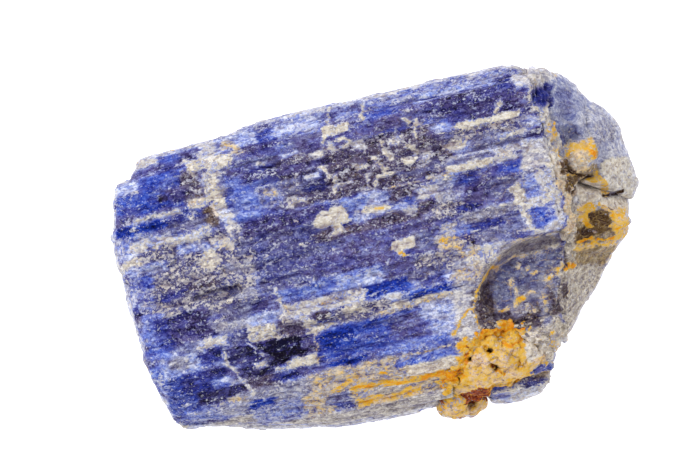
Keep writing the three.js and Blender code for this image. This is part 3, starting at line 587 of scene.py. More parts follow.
# How each piece's layers drift before anything is laid on them: the middle, the swing about it, the size of
# the waves, mm, their seed and octaves, and the highest value. A plain number holds all over the piece.
BLOCK_DRIFTS = {
    "tone": (0.46, 0.42, (9, 1.1, 1.1), 101, 3, 1),
    "vivid": (0.35, 0.6, (7, 3, 3), 103, 2, 1),
    "grey": (0.08, 0.3, (6, 3, 3), 105, 2, 1),
    "warm": (0.2, 0.6, (5, 3, 3), 104, 2, 1),
    "crust": (0.34, 0.4, (4, 1.8, 1.8), 107, 3, 1),
    "ochre": (-0.25, 0.9, (8, 4, 4), 109, 2, 0.5),
    "rust": 0.0,
}
END_DRIFTS = {
    "tone": (0.68, 0.3, (4, 2, 2), 201, 3, 1),
    "vivid": (0.12, 0.3, 5, 203, 2, 1),
    "grey": (0.72, 0.3, 4, 205, 2, 1),
    "warm": (0.3, 0.7, (6, 5, 5), 204, 2, 1),
    "crust": (0.2, 0.3, (2.4, 1.6, 1.6), 207, 3, 1),
    "ochre": (-0.3, 0.9, (6, 4, 4), 209, 2, 0.6),
    "rust": 0.0,
    "web": 0.3,
}
ROCK_DRIFTS = {
    "tone": (0.7, 0.2, 2, 301, 2, 1),
    "vivid": 0.0,
    "grey": (0.5, 0.3, 3, 303, 2, 1),
    "warm": 1.0,
    "crust": (0.7, 0.3, 1.5, 305, 2, 1),
    "ochre": (0.5, 0.6, 3, 307, 2, 1),
    "rust": (0.25, 0.7, 2.5, 309, 2, 1),
    "web": 0.0,
}
SEAM_DRIFTS = {
    "tone": (0.75, 0.3, 1.6, 451, 2, 1),
    "vivid": (0.0, 0.3, 3, 453, 2, 1),
    "grey": (0.75, 0.3, 3, 455, 2, 1),
    "warm": (0.5, 0.5, 3, 457, 2, 1),
    "crust": (0.6, 0.4, 1.6, 459, 2, 1),
    "ochre": (0.2, 0.6, 3, 461, 2, 1),
    "rust": 0.0,
    "web": 0.5,
}
LOWER_DRIFTS = {
    "tone": (0.4, 0.4, (4, 1.2, 1.2), 401, 3, 1),
    "vivid": (0.3, 0.4, 3, 403, 2, 1),
    "grey": (0.15, 0.3, 3, 405, 2, 1),
    "warm": (0.0, 0.6, 3, 404, 2, 1),
    "crust": (0.25, 0.4, 1.6, 407, 3, 1),
    "ochre": (-0.2, 0.8, 3, 409, 2, 0.5),
    "rust": 0.0,
    "web": 0.5,
}


def drifting(points, drifts):
    """A piece's layers before anything is laid on them."""
    layers = {}
    for layer, drift in drifts.items():
        if isinstance(drift, tuple):
            middle, swing, size, seed, octaves, highest = drift
            layers[layer] = np.clip(middle + swing * waves(points, size, seed, octaves), 0, highest)
        else:
            layers[layer] = np.full(len(points), drift)
    return layers


def block_layers(points, normals):
    """Banding along the crystals on every side, with the broad face and the break laid over it."""
    layers = drifting(points, BLOCK_DRIFTS)
    layers["web"] = np.clip(0.14 + 0.012 * points[:, 0], 0, 0.4)
    facing = facing_up(normals)
    layers["ochre"] *= 1 - 0.9 * facing
    lay(layers, points, facing, FACE_PATCHES, FACE_SEAMS, 111)
    bowl = patch_reach(points, *BREAK_FINISH) * smooth(11, 13, points[:, 2])
    return lay(layers, points, np.maximum(facing, bowl), SCOOP_PATCHES, SCOOP_SEAMS, 113)


def end_layers(points, normals):
    return lay(drifting(points, END_DRIFTS), points, facing_up(normals), END_PATCHES, END_SEAMS, 211)


def rock_layers(points, normals):
    return lay(drifting(points, ROCK_DRIFTS), points, facing_up(normals), ROCK_PATCHES, ROCK_SEAMS, 311)


def seam_layers(points, normals):
    return lay(drifting(points, SEAM_DRIFTS), points, facing_up(normals), SEAM_PATCHES, [], 463)


def lower_layers(points, normals):
    return lay(drifting(points, LOWER_DRIFTS), points, facing_up(normals), LOWER_PATCHES, [], 411)


def raised_crust(points, layers, seed, height):
    """Worn mineral lies on the crystal in thin scabs of this height, mm."""
    cover = layers["crust"] + 0.28 * waves(points, (0.9, 0.6, 0.6), seed, 2)
    return height * smooth(0.46, 0.7, cover)


def pit_share(points):
    """1 in the dark pit where the block's back corner meets the end crystal, and 0 outside."""
    along, across = ((points[:, :2] - PIT_MIDDLE) / PIT_RADIUS).T
    away = np.hypot(along, across)
    return 1 - smooth(0.5, 1.0, away + 0.12 * waves(points, 1.2, 143))


def block_relief(points, normals):
    layers = block_layers(points, normals)
    ends = smooth(0.55, 0.85, np.abs(normals[:, 0]))
    facing = facing_up(normals)
    corner = 1.1 * smooth(37.2, 40.6, points[:, 0] + points[:, 1])
    corner = corner + 0.3 * facing * smooth(22, 23.4, points[:, 0])
    pit = 0.6 * pit_share(points) * facing
    hollow = patch_reach(points, *BREAK_FORM, edge=1.6) * facing
    swell = 0.22 * waves(points, (14, 7, 7), 121, 2)
    ledges = terraces(0.42 * waves(points, (11, 1.7, 1.7), 123, 3), 0.17, 0.3)
    striae = 0.05 * waves(points, (7, 0.5, 0.5), 125, 2)
    near, _, own = grains(ragged(points, 127), (1.5, 0.65, 0.65), 129)
    pits = -0.13 * smooth(0.72, 0.9, own) * (1 - smooth(0.25, 0.6, near))
    rough = 0.2 * waves(points, (1.6, 1.3, 1.3), 131, 3) - 0.1 * grains(points, (1.6, 1.1, 1.1), 133)[0]
    even = swell + ledges + striae + pits + raised_crust(points, layers, 135, 0.08)
    smooth_bowl = 0.1 * waves(points, (5, 3, 3), 137, 2) + 0.03 * waves(points, 1.1, 139)
    rough += 0.35 * waves(points, (9, 3, 3), 141, 2)
    relief = even * (1 - ends) + (swell + rough) * ends
    return relief * (1 - hollow) + smooth_bowl * hollow - corner - pit


def end_relief(points, normals):
    layers = end_layers(points, normals)
    facets = terraces(0.5 * waves(points, (5, 3.2, 3.2), 221, 2), 0.22, 0.35)
    fine = 0.04 * waves(points, (1.4, 0.7, 0.7), 223, 2)
    cracks = sum(
        0.3 * (1 - smooth(0.05, 0.45, seam_distance((points + ragged(points, 225)) / 2, path)))
        for name, _, path in END_SEAMS if name == "crevice"
    )
    grain = 0.1 * patch_reach(points, 17, 27, -18, -8, 0.8) * waves(points, (0.9, 0.7, 0.7), 227, 2)
    crust = raised_crust(points, layers, 229, 0.08)
    facing = facing_up(normals)
    lift = 0.7 * facing * (1 - smooth(24, 26, points[:, 0])) * smooth(-3, 0, points[:, 1])
    return 0.6 * facets + fine + grain + crust + lift - (cracks + 0.5 * pit_share(points)) * facing


def rock_relief(points, normals):
    near, _, own = grains(ragged(points, 321), 1.3, 323)
    small = grains(points, 0.55, 325)[0]
    holes = sum(
        0.6 * (1 - smooth(0.2, 1.0, seam_distance(points, path) / width))
        for name, width, path in ROCK_SEAMS if name == "hole"
    )
    lumps = 0.35 * (own - 0.4) - 0.24 * near - 0.07 * small + 0.08 * waves(points, 0.7, 327, 2)
    tuck = smooth(-18.8, -20, points[:, 1]) * smooth(9.6, 10.6, points[:, 0])
    return 0.2 + lumps - holes * facing_up(normals) - 0.9 * tuck


def lower_relief(points, normals):
    ledges = terraces(0.3 * waves(points, (6, 1.3, 1.3), 421, 2), 0.14, 0.35)
    return ledges + 0.03 * waves(points, (3, 0.5, 0.5), 423, 2)


def shaped(name, node, slot, relief_of, voxel, soften, faces):
    """A detailed piece for a CAD node, shaped in cells of voxel millimetres, then thinned out."""
    piece = carve(dense_copy(name, node, voxel), relief_of, soften, faces)
    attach(piece, "root")
    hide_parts(node)
    return piece


def seen_from_above(pieces, cell=0.25):
    """The stone's height, mm, in square cells seen from above; the first cell starts at low."""
    cloud = np.concatenate([points_of(piece.data) for piece in pieces])
    low = cloud[:, :2].min(0) - 8 * cell
    shape = ((np.ptp(cloud[:, :2], axis=0) + 16 * cell) / cell).astype(int) + 1
    top = np.full(shape, -99.0)
    at = ((cloud[:, :2] - low) / cell).astype(int)
    np.maximum.at(top, (at[:, 0], at[:, 1]), cloud[:, 2])
    return low, cell, top


def outline_depth(low, cell, top, steps=7):
    """Each cell's distance in from the stone's outline, mm."""
    def grown(area):
        wide = area.copy()
        for axis in (0, 1):
            wide |= np.roll(area, 1, axis) | np.roll(area, -1, axis)
        return wide

    filled = ~grown(grown(~grown(grown(top > -99))))
    depth = filled.astype(float)
    inside = filled
    for _ in range(steps):
        inside = ~grown(~inside)
        depth += inside
    return low, cell, depth * cell


def banked(low, cell, top, slope, reach):
    """The heights with every step banked up to this slope, out to this reach, mm."""
    steps = int(reach / cell)
    heights = top.copy()
    for i, j in np.ndindex(2 * steps + 1, 2 * steps + 1):
        away = cell * math.hypot(i - steps, j - steps)
        if away <= reach:
            heights = np.maximum(heights, np.roll(top, (i - steps, j - steps), (0, 1)) - slope * away)
    return low, cell, heights


def painted(piece, layers_of, wear_rounds, outline):
    """Paints a piece's layers: worn pale edges, a painted glow on the stone's rim, painted shade in hollows.
    """
    mesh = piece.data
    points = points_of(mesh)
    edges = edges_of(mesh)
    normals = spread(normals_of(mesh), edges, len(points), 6)
    layers = layers_of(points, normals)
    wear = edge_wear(mesh, wear_rounds)
    low, cell, depth = outline
    at = ((points[:, :2] - low) / cell).astype(int)
    inward = spread(depth[at[:, 0], at[:, 1]], edges, len(points), 3)
    # Painted light: a pale glow on the rim of the stone as seen from above, for light through its thin edges.
    rim_glow = 1 - smooth(0.35, 1.0, inward + 0.35 * waves(points, (2.5, 1.2, 1.2), 503, 2))
    rim_glow *= smooth(-0.15, 0.2, normals[:, 2])
    blend(layers, RIM_GLOW_PAINT, RIM_GLOW_SHARE * rim_glow)
    worn = wear + 0.02 * waves(points, (1.5, 0.7, 0.7), 501, 2)
    pale_edge = 0.42 * smooth(0.03, 0.12, worn) + 0.3 * smooth(0.12, 0.25, worn)
    layers["crust"] = np.maximum(layers["crust"], pale_edge)
    blend(layers, PAINTS["pit"], pit_share(points))
    for layer in LAYERS:
        paint(mesh, layer, layers[layer])
    # Painted shade: how far each point lies down in a hollow or crack, for darkening it there.
    paint(mesh, "hollow", smooth(0.02, 0.12, -wear))


def lumpy_seam(name, paths, size, width, seed):
    """Mineral grown along paths on the banked ground: knobs of this size, strewn over this width, mm."""
    random = np.random.default_rng(seed)
    low, cell, heights = GROUND
    shape = bmesh.new()
    for path in paths:
        for start, end in zip(np.array(path, float), np.array(path[1:], float)):
            count = max(1, round(KNOBS_PER_MM * np.linalg.norm(end - start)))
            for share in (np.arange(count) + 0.5) / count:
                spot = start + (end - start) * share + random.uniform(-width / 2, width / 2, 2)
                stretch = np.array(size) * random.uniform(0.7, 1.15, 3)
                at = ((spot - low) / cell).astype(int)
                middle = np.array([*spot, heights[at[0], at[1]] - 0.75 * stretch[2]])
                pose = Matrix.LocRotScale(
                    (middle + CRYSTAL_ORIGIN) * MM, Euler(random.uniform(-0.5, 0.5, 3)), Vector(stretch * MM))
                bmesh.ops.create_icosphere(shape, subdivisions=3, radius=1, matrix=pose)
    mesh = bpy.data.meshes.new(name)
    shape.to_mesh(mesh)
    shape.free()
    piece = bpy.data.objects.new(name, mesh)
    bpy.context.scene.collection.objects.link(piece)
    with_modifier(piece, "REMESH", mode="VOXEL", voxel_size=KNOB_VOXEL * MM)
    mesh = piece.data
    points = points_of(mesh)
    near, _, own = grains(ragged(points, seed), (0.9, 1.2, 0.9), seed + 1)
    rough = 0.22 * (own - 0.5) - 0.22 * near + 0.12 * waves(points, 0.7, seed + 2, 2)
    set_points(mesh, points + normals_of(mesh) * rough[:, None])
    mesh.shade_smooth()
    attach(piece, "root")
    return piece


blue_crystals = shaped(
    "blue_crystals", "blue_crystal_block", "blue_sapphire", block_relief, voxel=0.2, soften=7, faces=190000)
end_crystal = shaped(
    "grey_end_crystal", "end_crystal", "grey_sapphire", end_relief, voxel=0.17, soften=4, faces=120000)
violet_crystal = shaped(
    "violet_crystal", "lower_crystal", "violet_sapphire", lower_relief, voxel=0.12, soften=5, faces=40000)
iron_rock = shaped(
    "iron_rock", "matrix_rock", "iron_stained_rock", rock_relief, voxel=0.12, soften=3, faces=90000)

# The mineral grown in the contacts: knobs to each millimetre of path, and the size of their faces. They sit
# on ground that rises to every step at this slope, from this far out.
KNOBS_PER_MM = 7
KNOB_VOXEL = 0.13
BANK_SLOPE = 1.5
BANK_REACH = 1.5  # mm

from_above = seen_from_above([blue_crystals, end_crystal, violet_crystal, iron_rock])
GROUND = banked(*from_above, slope=BANK_SLOPE, reach=BANK_REACH)
contact_crust = lumpy_seam(
    "contact_crust",
    [[(22.9, 11.6), (23.4, 9.6), (23.8, 8.0), (24.1, 6.4)], [(23.3, 9.4), (23.4, 4.0)],
     [(24.4, 4.6), (25.6, 6.4)]],
    size=(0.55, 0.6, 0.8), width=0.9, seed=601)
contact_grit = lumpy_seam(
    "contact_grit",
    [[(22.9, 15.8), (23.1, 15.5), (23.4, 14.6)],
     [(23.5, 3.6), (23.5, 0.0), (23.4, -2.8), (22.7, -4.4), (22.2, -6.6)],
     [(22.2, -6.6), (21.4, -8.6), (20.8, -10.4), (20.2, -12.0), (19.4, -13.8), (18.6, -15.4), (18.0, -16.4)],
     [(20.1, -14.6), (19.7, -15.2), (19.8, -15.7)], [(23.2, 13.7), (23.5, 12.9), (23.7, 12.0)]],
    size=(0.5, 0.6, 0.8), width=1.1, seed=611)
rock_foot = lumpy_seam(
    "rock_foot",
    [[(5.2, -18.6), (6.0, -16.8), (7.6, -15.2), (9.0, -13.6), (10.8, -12.7), (14.0, -12.9), (15.6, -14.0)],
     [(15.6, -14.0), (16.6, -15.0), (17.4, -16.2)]],
    size=(0.6, 0.6, 0.7), width=1.3, seed=621)

whole_outline = outline_depth(*from_above)
for piece, layers_of, wear_rounds in (
        (blue_crystals, block_layers, 12), (end_crystal, end_layers, 8), (violet_crystal, lower_layers, 10),
        (iron_rock, rock_layers, 8), (contact_crust, seam_layers, 3), (contact_grit, seam_layers, 3),
        (rock_foot, rock_layers, 3)):
    painted(piece, layers_of, wear_rounds, whole_outline)


# ---------------------------------------------------------------------------------------------------
# Shared effects
# ---------------------------------------------------------------------------------------------------

def place(tree, kind, inputs=None, **settings):
    """Adds a shader node; each input is a value or another node's output."""
    made = tree.nodes.new("ShaderNode" + kind)
    for name, value in settings.items():
        setattr(made, name, value)
    for socket, value in (inputs or {}).items():
        if isinstance(value, bpy.types.NodeSocket):
            tree.links.new(value, made.inputs[socket])
        else:
            made.inputs[socket].default_value = value
    return made


def math_node(tree, operation, *values, clamp=False):
    return place(tree, "Math", dict(enumerate(values)), operation=operation, use_clamp=clamp).outputs[0]


def mixed(tree, factor, first, second, blend_type="MIX"):
    inputs = {"Factor": factor, 6: first, 7: second}
    return place(tree, "Mix", inputs, data_type="RGBA", blend_type=blend_type).outputs[2]


def step(tree, value, low, high):
    """0 below low and 1 above high."""
    inputs = {"Value": value, "From Min": low, "From Max": high}
    return place(tree, "MapRange", inputs, interpolation_type="SMOOTHSTEP").outputs["Result"]


def ramp(tree, value, *stops):
    """Colour along a value; each stop is its place and its red, green and blue as they look on a screen."""
    made = place(tree, "ValToRGB", {"Fac": value})
    while len(made.color_ramp.elements) < len(stops):
        made.color_ramp.elements.new(0.5)
    for element, (position, *colour) in zip(made.color_ramp.elements, stops):
        element.position = position
        element.color = (*shade_of(*colour), 1)
    return made.outputs["Color"]


def stretched(tree, vector, along, across):
    """Coordinates that draw a texture out along the crystals; the sizes are in mm."""
    scale = (1 / along, 1 / across, 1 / across)
    return place(tree, "VectorMath", {0: vector, 1: scale}, operation="MULTIPLY").outputs["Vector"]


def noise(tree, vector, detail=2.0, roughness=0.5, distortion=0.0):
    inputs = {
        "Vector": vector, "Scale": 1.0, "Detail": detail, "Roughness": roughness, "Distortion": distortion}
    return place(tree, "TexNoise", inputs).outputs["Fac"]


def bent(tree, vector, scale, detail, roughness, reach):
    """Coordinates pushed about by noise, by this reach along each axis."""
    inputs = {"Vector": vector, "Scale": scale, "Detail": detail, "Roughness": roughness}
    shift = place(tree, "TexNoise", inputs).outputs["Color"]
    moved = place(tree, "VectorMath", {0: shift, 1: reach, 2: vector}, operation="MULTIPLY_ADD")
    return moved.outputs["Vector"]


def grain_numbers(tree, vector, along, across):
    """Three random numbers for each grain of this size, in mm."""
    cells = place(tree, "TexVoronoi", {"Vector": stretched(tree, vector, along, across), "Scale": 1.0})
    return place(tree, "SeparateColor", {"Color": cells.outputs["Color"]}).outputs


def new_group(name, inputs, outputs):
    """An empty node group, with the outputs of its input node and the inputs of its output node."""
    tree = bpy.data.node_groups.new(name, "ShaderNodeTree")
    for socket, kind in inputs.items():
        tree.interface.new_socket(socket, in_out="INPUT", socket_type="NodeSocket" + kind)
    for socket, kind in outputs.items():
        tree.interface.new_socket(socket, in_out="OUTPUT", socket_type="NodeSocket" + kind)
    return tree, tree.nodes.new("NodeGroupInput").outputs, tree.nodes.new("NodeGroupOutput").inputs


def shade_of(red, green, blue):
    """A colour given as it looks on a screen, from 0 to 255, in the shader's own linear terms."""
    return tuple(
        v / 255 / 12.92 if v < 10 else ((v / 255 + 0.055) / 1.055) ** 2.4 for v in (red, green, blue))


def streaks_group():
    """Growth streaks along the crystals, over cloudy grain and drifts of hue, each from about -1 to 1."""
    tree, given, result = new_group(
        "growth streaks", {"Place": "Vector"},
        {"Bands": "Float", "Lines": "Float", "Clouds": "Float", "Drift": "Float", "Cells": "Float"})
    bands = noise(tree, stretched(tree, given["Place"], 3.6, 0.9), 5, 0.7, 0.25)
    lines = noise(tree, stretched(tree, given["Place"], 3.0, 0.2), 3, 0.7)
    clouds = noise(tree, stretched(tree, given["Place"], 0.6, 0.5), 6, 0.85, 0.3)
    clouds = math_node(tree, "MULTIPLY_ADD", clouds, 0.5, 0.25)
    drift = noise(tree, stretched(tree, given["Place"], 2.6, 1.4), 4, 0.7, 0.5)
    wavy = bent(tree, given["Place"], 1.6, 4.0, 0.7, (1.4, 0.8, 0.8))
    for along, across, share in ((1.5, 0.7, 0.11), (0.6, 0.4, 0.15), (0.27, 0.22, 0.2)):
        own = grain_numbers(tree, wavy, along, across)["Red"]
        clouds = math_node(tree, "ADD", clouds, math_node(tree, "MULTIPLY_ADD", own, 2 * share, -share))
        if along == 0.6:
            tree.links.new(math_node(tree, "MULTIPLY_ADD", own, 2.0, -1.0), result["Cells"])
    for name, value in (("Bands", bands), ("Lines", lines), ("Clouds", clouds), ("Drift", drift)):
        tree.links.new(math_node(tree, "MULTIPLY_ADD", value, 5.0, -2.5), result[name])
    return tree


def flecks_group():
    """Worn mineral that gathers from single grains to a closed crust as its amount grows."""
    tree, given, result = new_group(
        "flecks", {"Place": "Vector", "Amount": "Float"},
        {"Mask": "Float", "Ring": "Float", "Grain": "Float",
         "Painted Glints": "Float", "Gaps": "Float", "Web": "Float"})
    wavy = bent(tree, given["Place"], 2.6, 2.0, 0.5, (0.5, 0.4, 0.4))
    patchy = noise(tree, stretched(tree, given["Place"], 1.0, 0.8), 5, 0.7)
    crumb = noise(tree, stretched(tree, given["Place"], 0.26, 0.2), 2, 0.6)
    large_grain = grain_numbers(tree, wavy, 0.6, 0.48)["Red"]
    parts = grain_numbers(tree, wavy, 0.28, 0.22)
    field = math_node(
        tree, "MULTIPLY_ADD", patchy, 0.95,
        math_node(tree, "MULTIPLY_ADD", large_grain, 0.24, math_node(tree, "MULTIPLY", parts["Red"], 0.42)))
    bar = math_node(tree, "MULTIPLY_ADD", given["Amount"], -0.74, 1.2)
    over = math_node(tree, "SUBTRACT", field, bar)
    cover = step(tree, over, -0.02, 0.03)
    tree.links.new(cover, result["Mask"])
    ring = math_node(tree, "SUBTRACT", step(tree, over, -0.09, -0.02), step(tree, over, 0.0, 0.08))
    tree.links.new(ring, result["Ring"])
    cracks = place(
        tree, "TexVoronoi", {"Vector": stretched(tree, wavy, 1.9, 1.3), "Scale": 1.0},
        feature="DISTANCE_TO_EDGE")
    hairlines = math_node(tree, "SUBTRACT", 1.0, step(tree, cracks.outputs["Distance"], 0.005, 0.05))
    tree.links.new(math_node(tree, "MULTIPLY", hairlines, step(tree, patchy, 0.42, 0.6)), result["Web"])
    tree.links.new(crumb, result["Grain"])
    # Painted glints: tiny bright highlight specks, put into the colour in place of a glossy shine.
    grit = noise(tree, stretched(tree, given["Place"], 0.21, 0.17), 3, 0.7)
    spread_out = noise(tree, stretched(tree, given["Place"], 1.0, 0.7), 3, 0.6)
    keen = math_node(tree, "ADD", grit, math_node(tree, "MULTIPLY_ADD", spread_out, 0.35, -0.175))
    keen = math_node(tree, "MULTIPLY_ADD", given["Amount"], 0.1, keen)
    bright = math_node(tree, "MULTIPLY_ADD", parts["Green"], 0.7, 0.3)
    tree.links.new(math_node(tree, "MULTIPLY", step(tree, keen, 0.59, 0.72), bright), result["Painted Glints"])
    tree.links.new(math_node(tree, "LESS_THAN", parts["Blue"], 0.24), result["Gaps"])
    return tree


def crystal_group():
    """The crystal's own colour, from black through violet and blue to frost, or cloudy grey, or olive."""
    tree, given, result = new_group(
        "crystal colour",
        {"Place": "Vector", "Tone": "Float", "Vivid": "Float", "Grey": "Float", "Warm": "Float",
         "Contrast": "Float"},
        {"Colour": "Color", "Shade": "Float"})
    streaks = place(tree, "Group", {"Place": given["Place"]}, node_tree=STREAKS)
    change = math_node(tree, "MULTIPLY", streaks.outputs["Bands"], 0.1)
    change = math_node(tree, "MULTIPLY_ADD", streaks.outputs["Lines"], 0.06, change)
    change = math_node(tree, "MULTIPLY_ADD", streaks.outputs["Clouds"], 0.14, change)
    shade = math_node(tree, "MULTIPLY_ADD", change, given["Contrast"], given["Tone"])
    shade = math_node(tree, "ADD", shade, 0.05, clamp=True)
    violet = ramp(
        tree, shade, (0, 10, 4, 18), (0.14, 40, 31, 74), (0.3, 66, 57, 104),
        (0.45, 88, 80, 129), (0.6, 106, 106, 160), (0.75, 128, 136, 188),
        (0.9, 162, 170, 210), (1, 202, 206, 228))
    pure = ramp(
        tree, shade, (0, 8, 14, 52), (0.15, 12, 30, 112), (0.3, 22, 46, 146),
        (0.45, 42, 68, 164), (0.6, 74, 100, 190), (0.75, 112, 134, 206),
        (0.9, 156, 172, 220), (1, 198, 206, 232))
    cool = ramp(
        tree, shade, (0, 38, 30, 42), (0.25, 72, 68, 84), (0.5, 106, 109, 130),
        (0.75, 150, 150, 162), (1, 208, 207, 212))
    olive = ramp(
        tree, shade, (0, 44, 26, 14), (0.25, 86, 64, 38), (0.5, 118, 98, 66),
        (0.75, 154, 138, 108), (1, 210, 198, 174))
    hue = math_node(tree, "MULTIPLY_ADD", streaks.outputs["Drift"], 0.35, given["Vivid"], clamp=True)
    dull = mixed(tree, given["Warm"], cool, olive)
    dullness = math_node(tree, "MULTIPLY_ADD", streaks.outputs["Cells"], 0.16, given["Grey"], clamp=True)
    tree.links.new(mixed(tree, dullness, mixed(tree, hue, violet, pure), dull), result["Colour"])
    tree.links.new(shade, result["Shade"])
    return tree


def crust_group():
    """The colour of worn mineral and iron stains."""
    tree, given, result = new_group(
        "worn mineral",
        {"Place": "Vector", "Ochre": "Float", "Rust": "Float", "Blue": "Float", "Warm": "Float"},
        {"Colour": "Color", "Stain": "Float"})
    broad = noise(tree, stretched(tree, given["Place"], 1.5, 1.0), 4, 0.65)
    own = grain_numbers(tree, given["Place"], 0.5, 0.36)["Red"]
    small = noise(tree, stretched(tree, given["Place"], 0.4, 0.3), 3, 0.65)
    level = math_node(tree, "MULTIPLY_ADD", own, 0.3, math_node(tree, "MULTIPLY", small, 0.7))
    bare = ramp(
        tree, level, (0.3, 140, 129, 126), (0.42, 174, 164, 152),
        (0.54, 196, 188, 172), (0.68, 220, 215, 206))
    frosted = ramp(
        tree, level, (0.3, 118, 124, 172), (0.45, 150, 158, 198), (0.68, 206, 210, 230))
    peach = ramp(
        tree, level, (0.3, 156, 120, 88), (0.48, 204, 172, 137), (0.68, 234, 212, 186))
    cool = mixed(tree, step(tree, given["Warm"], 0.5, 1.0), mixed(tree, given["Blue"], bare, frosted), peach)
    wander = math_node(tree, "MULTIPLY_ADD", broad, 1.1, math_node(tree, "MULTIPLY_ADD", own, 0.5, small))
    loose = math_node(tree, "MULTIPLY", given["Ochre"], 3.0, clamp=True)
    amount = math_node(
        tree, "MULTIPLY_ADD", math_node(tree, "SUBTRACT", wander, 1.3), loose, given["Ochre"], clamp=True)
    iron = ramp(
        tree, amount, (0, 214, 190, 142), (0.3, 208, 172, 94),
        (0.55, 208, 164, 54), (0.8, 212, 150, 8), (1, 206, 126, 2))
    stain = step(tree, amount, 0.06, 0.42)
    red = ramp(
        tree, small, (0.3, 44, 14, 4), (0.5, 112, 38, 8), (0.7, 190, 104, 24))
    burnt = math_node(tree, "ADD", given["Rust"], math_node(tree, "SUBTRACT", broad, 0.5))
    burnt = step(tree, burnt, 0.35, 0.65)
    tree.links.new(mixed(tree, burnt, mixed(tree, stain, cool, iron), red), result["Colour"])
    tree.links.new(stain, result["Stain"])
    return tree


STREAKS = streaks_group()
FLECKS = flecks_group()
CRYSTAL = crystal_group()
CRUST = crust_group()


# ---------------------------------------------------------------------------------------------------
# Materials
# ---------------------------------------------------------------------------------------------------

IRON_FILM = (*shade_of(176, 148, 96), 1)
# Painted highlight: the colour of the tiny glints.
PAINTED_GLINT = (*shade_of(206, 208, 226), 1)
CHIP_SHADE = (0.2, 0.16, 0.3, 1)  # what small chips in the crystal multiply its colour by
# Painted shade in hollows and cracks, tinted as dirt where the stone is clean and as rust where it is
# stained.
CRACK_SHADE_AND_DIRT = (0.34, 0.28, 0.42, 1)  # and what cracks do, where the stone is clean
CRACK_SHADE_AND_RUST = (0.6, 0.36, 0.14, 1)  # and where it is stained


def stone(name, contrast, gloss, bump, crust_share=1.0):
    """Crystal under worn mineral, as the layers say. Gloss is the bare crystal's roughness; bump is in mm."""
    material = bpy.data.materials.new(name)
    material.use_nodes = True
    tree = material.node_tree
    shader = tree.nodes["Principled BSDF"]
    layer = {k: place(tree, "Attribute", attribute_name=k).outputs["Fac"] for k in (*LAYERS, "hollow")}
    spot = place(
        tree, "VectorMath", {0: place(tree, "TexCoord").outputs["Object"], "Scale": 1 / MM},
        operation="SCALE")
    here = spot.outputs["Vector"]
    crystal = place(tree, "Group", {
        "Place": here, "Tone": layer["tone"], "Vivid": layer["vivid"], "Grey": layer["grey"],
        "Warm": layer["warm"], "Contrast": contrast}, node_tree=CRYSTAL)
    flecks = place(tree, "Group", {
        "Place": here, "Amount": math_node(tree, "MULTIPLY", layer["crust"], crust_share)}, node_tree=FLECKS)
    closed = step(tree, layer["crust"], 0.3, 0.75)
    plain = math_node(tree, "SUBTRACT", 1.0, layer["grey"], clamp=True)
    crust = place(tree, "Group", {
        "Place": here, "Ochre": layer["ochre"], "Rust": layer["rust"], "Warm": layer["warm"],
        "Blue": math_node(tree, "MULTIPLY", plain, math_node(tree, "SUBTRACT", 1.0, closed))},
        node_tree=CRUST)
    strength = math_node(tree, "MULTIPLY_ADD", closed, 0.36, 0.62)
    cover = math_node(tree, "MULTIPLY", flecks.outputs["Mask"], strength)
    open_share = math_node(tree, "MULTIPLY_ADD", closed, -0.85, 1.0)
    gap = math_node(
        tree, "MULTIPLY", flecks.outputs["Gaps"],
        math_node(tree, "MULTIPLY", layer["crust"], math_node(tree, "MULTIPLY", open_share, 1.4), clamp=True))
    body = mixed(tree, gap, crystal.outputs["Colour"], CHIP_SHADE, "MULTIPLY")
    colour = mixed(tree, cover, body, crust.outputs["Colour"])
    halo = math_node(tree, "MULTIPLY", flecks.outputs["Ring"], 0.5)
    film = math_node(tree, "MAXIMUM", flecks.outputs["Web"], halo)
    film = math_node(tree, "MULTIPLY", film, math_node(tree, "MULTIPLY", layer["web"], 0.8))
    colour = mixed(tree, film, colour, IRON_FILM)
    # Painted glints: tiny highlight specks laid into the colour, fewer on dark crystal and on stains.
    keen = math_node(tree, "MULTIPLY", flecks.outputs["Painted Glints"], step(tree, layer["tone"], -0.3, 0.25))
    clean = math_node(tree, "MULTIPLY_ADD", crust.outputs["Stain"], -0.6, 0.7)
    painted_glint = math_node(tree, "MULTIPLY", keen, clean)
    colour = mixed(tree, painted_glint, colour, PAINTED_GLINT)
    # Painted shade: hollows and cracks darkened as shade and dirt, rust-tinted where stained.
    stained = math_node(tree, "MULTIPLY", crust.outputs["Stain"], cover)
    hollow_shade_and_dirt = math_node(tree, "MULTIPLY", layer["hollow"], math_node(tree, "MULTIPLY_ADD", stained, -0.1, 0.75))
    shadow = mixed(tree, stained, CRACK_SHADE_AND_DIRT, CRACK_SHADE_AND_RUST)
    colour = mixed(tree, hollow_shade_and_dirt, colour, shadow, "MULTIPLY")
    tree.links.new(colour, shader.inputs["Base Color"])
    rough = place(tree, "MapRange", {"Value": cover, "To Min": gloss, "To Max": 0.85}).outputs["Result"]
    tree.links.new(rough, shader.inputs["Roughness"])
    shader.inputs["Specular IOR Level"].default_value = 0.03
    shader.inputs["IOR"].default_value = 1.55
    coarse = math_node(tree, "MULTIPLY_ADD", cover, 0.8, 0.25)
    grain = math_node(tree, "MULTIPLY", flecks.outputs["Grain"], coarse)
    height = math_node(tree, "ADD", math_node(tree, "MULTIPLY", crystal.outputs["Shade"], 0.3), grain)
    height = math_node(tree, "ADD", height, math_node(tree, "MULTIPLY", cover, 0.25))
    bumped = place(tree, "Bump", {"Height": height, "Distance": bump * MM, "Strength": 1.0})
    tree.links.new(bumped.outputs["Normal"], shader.inputs["Normal"])
    return material


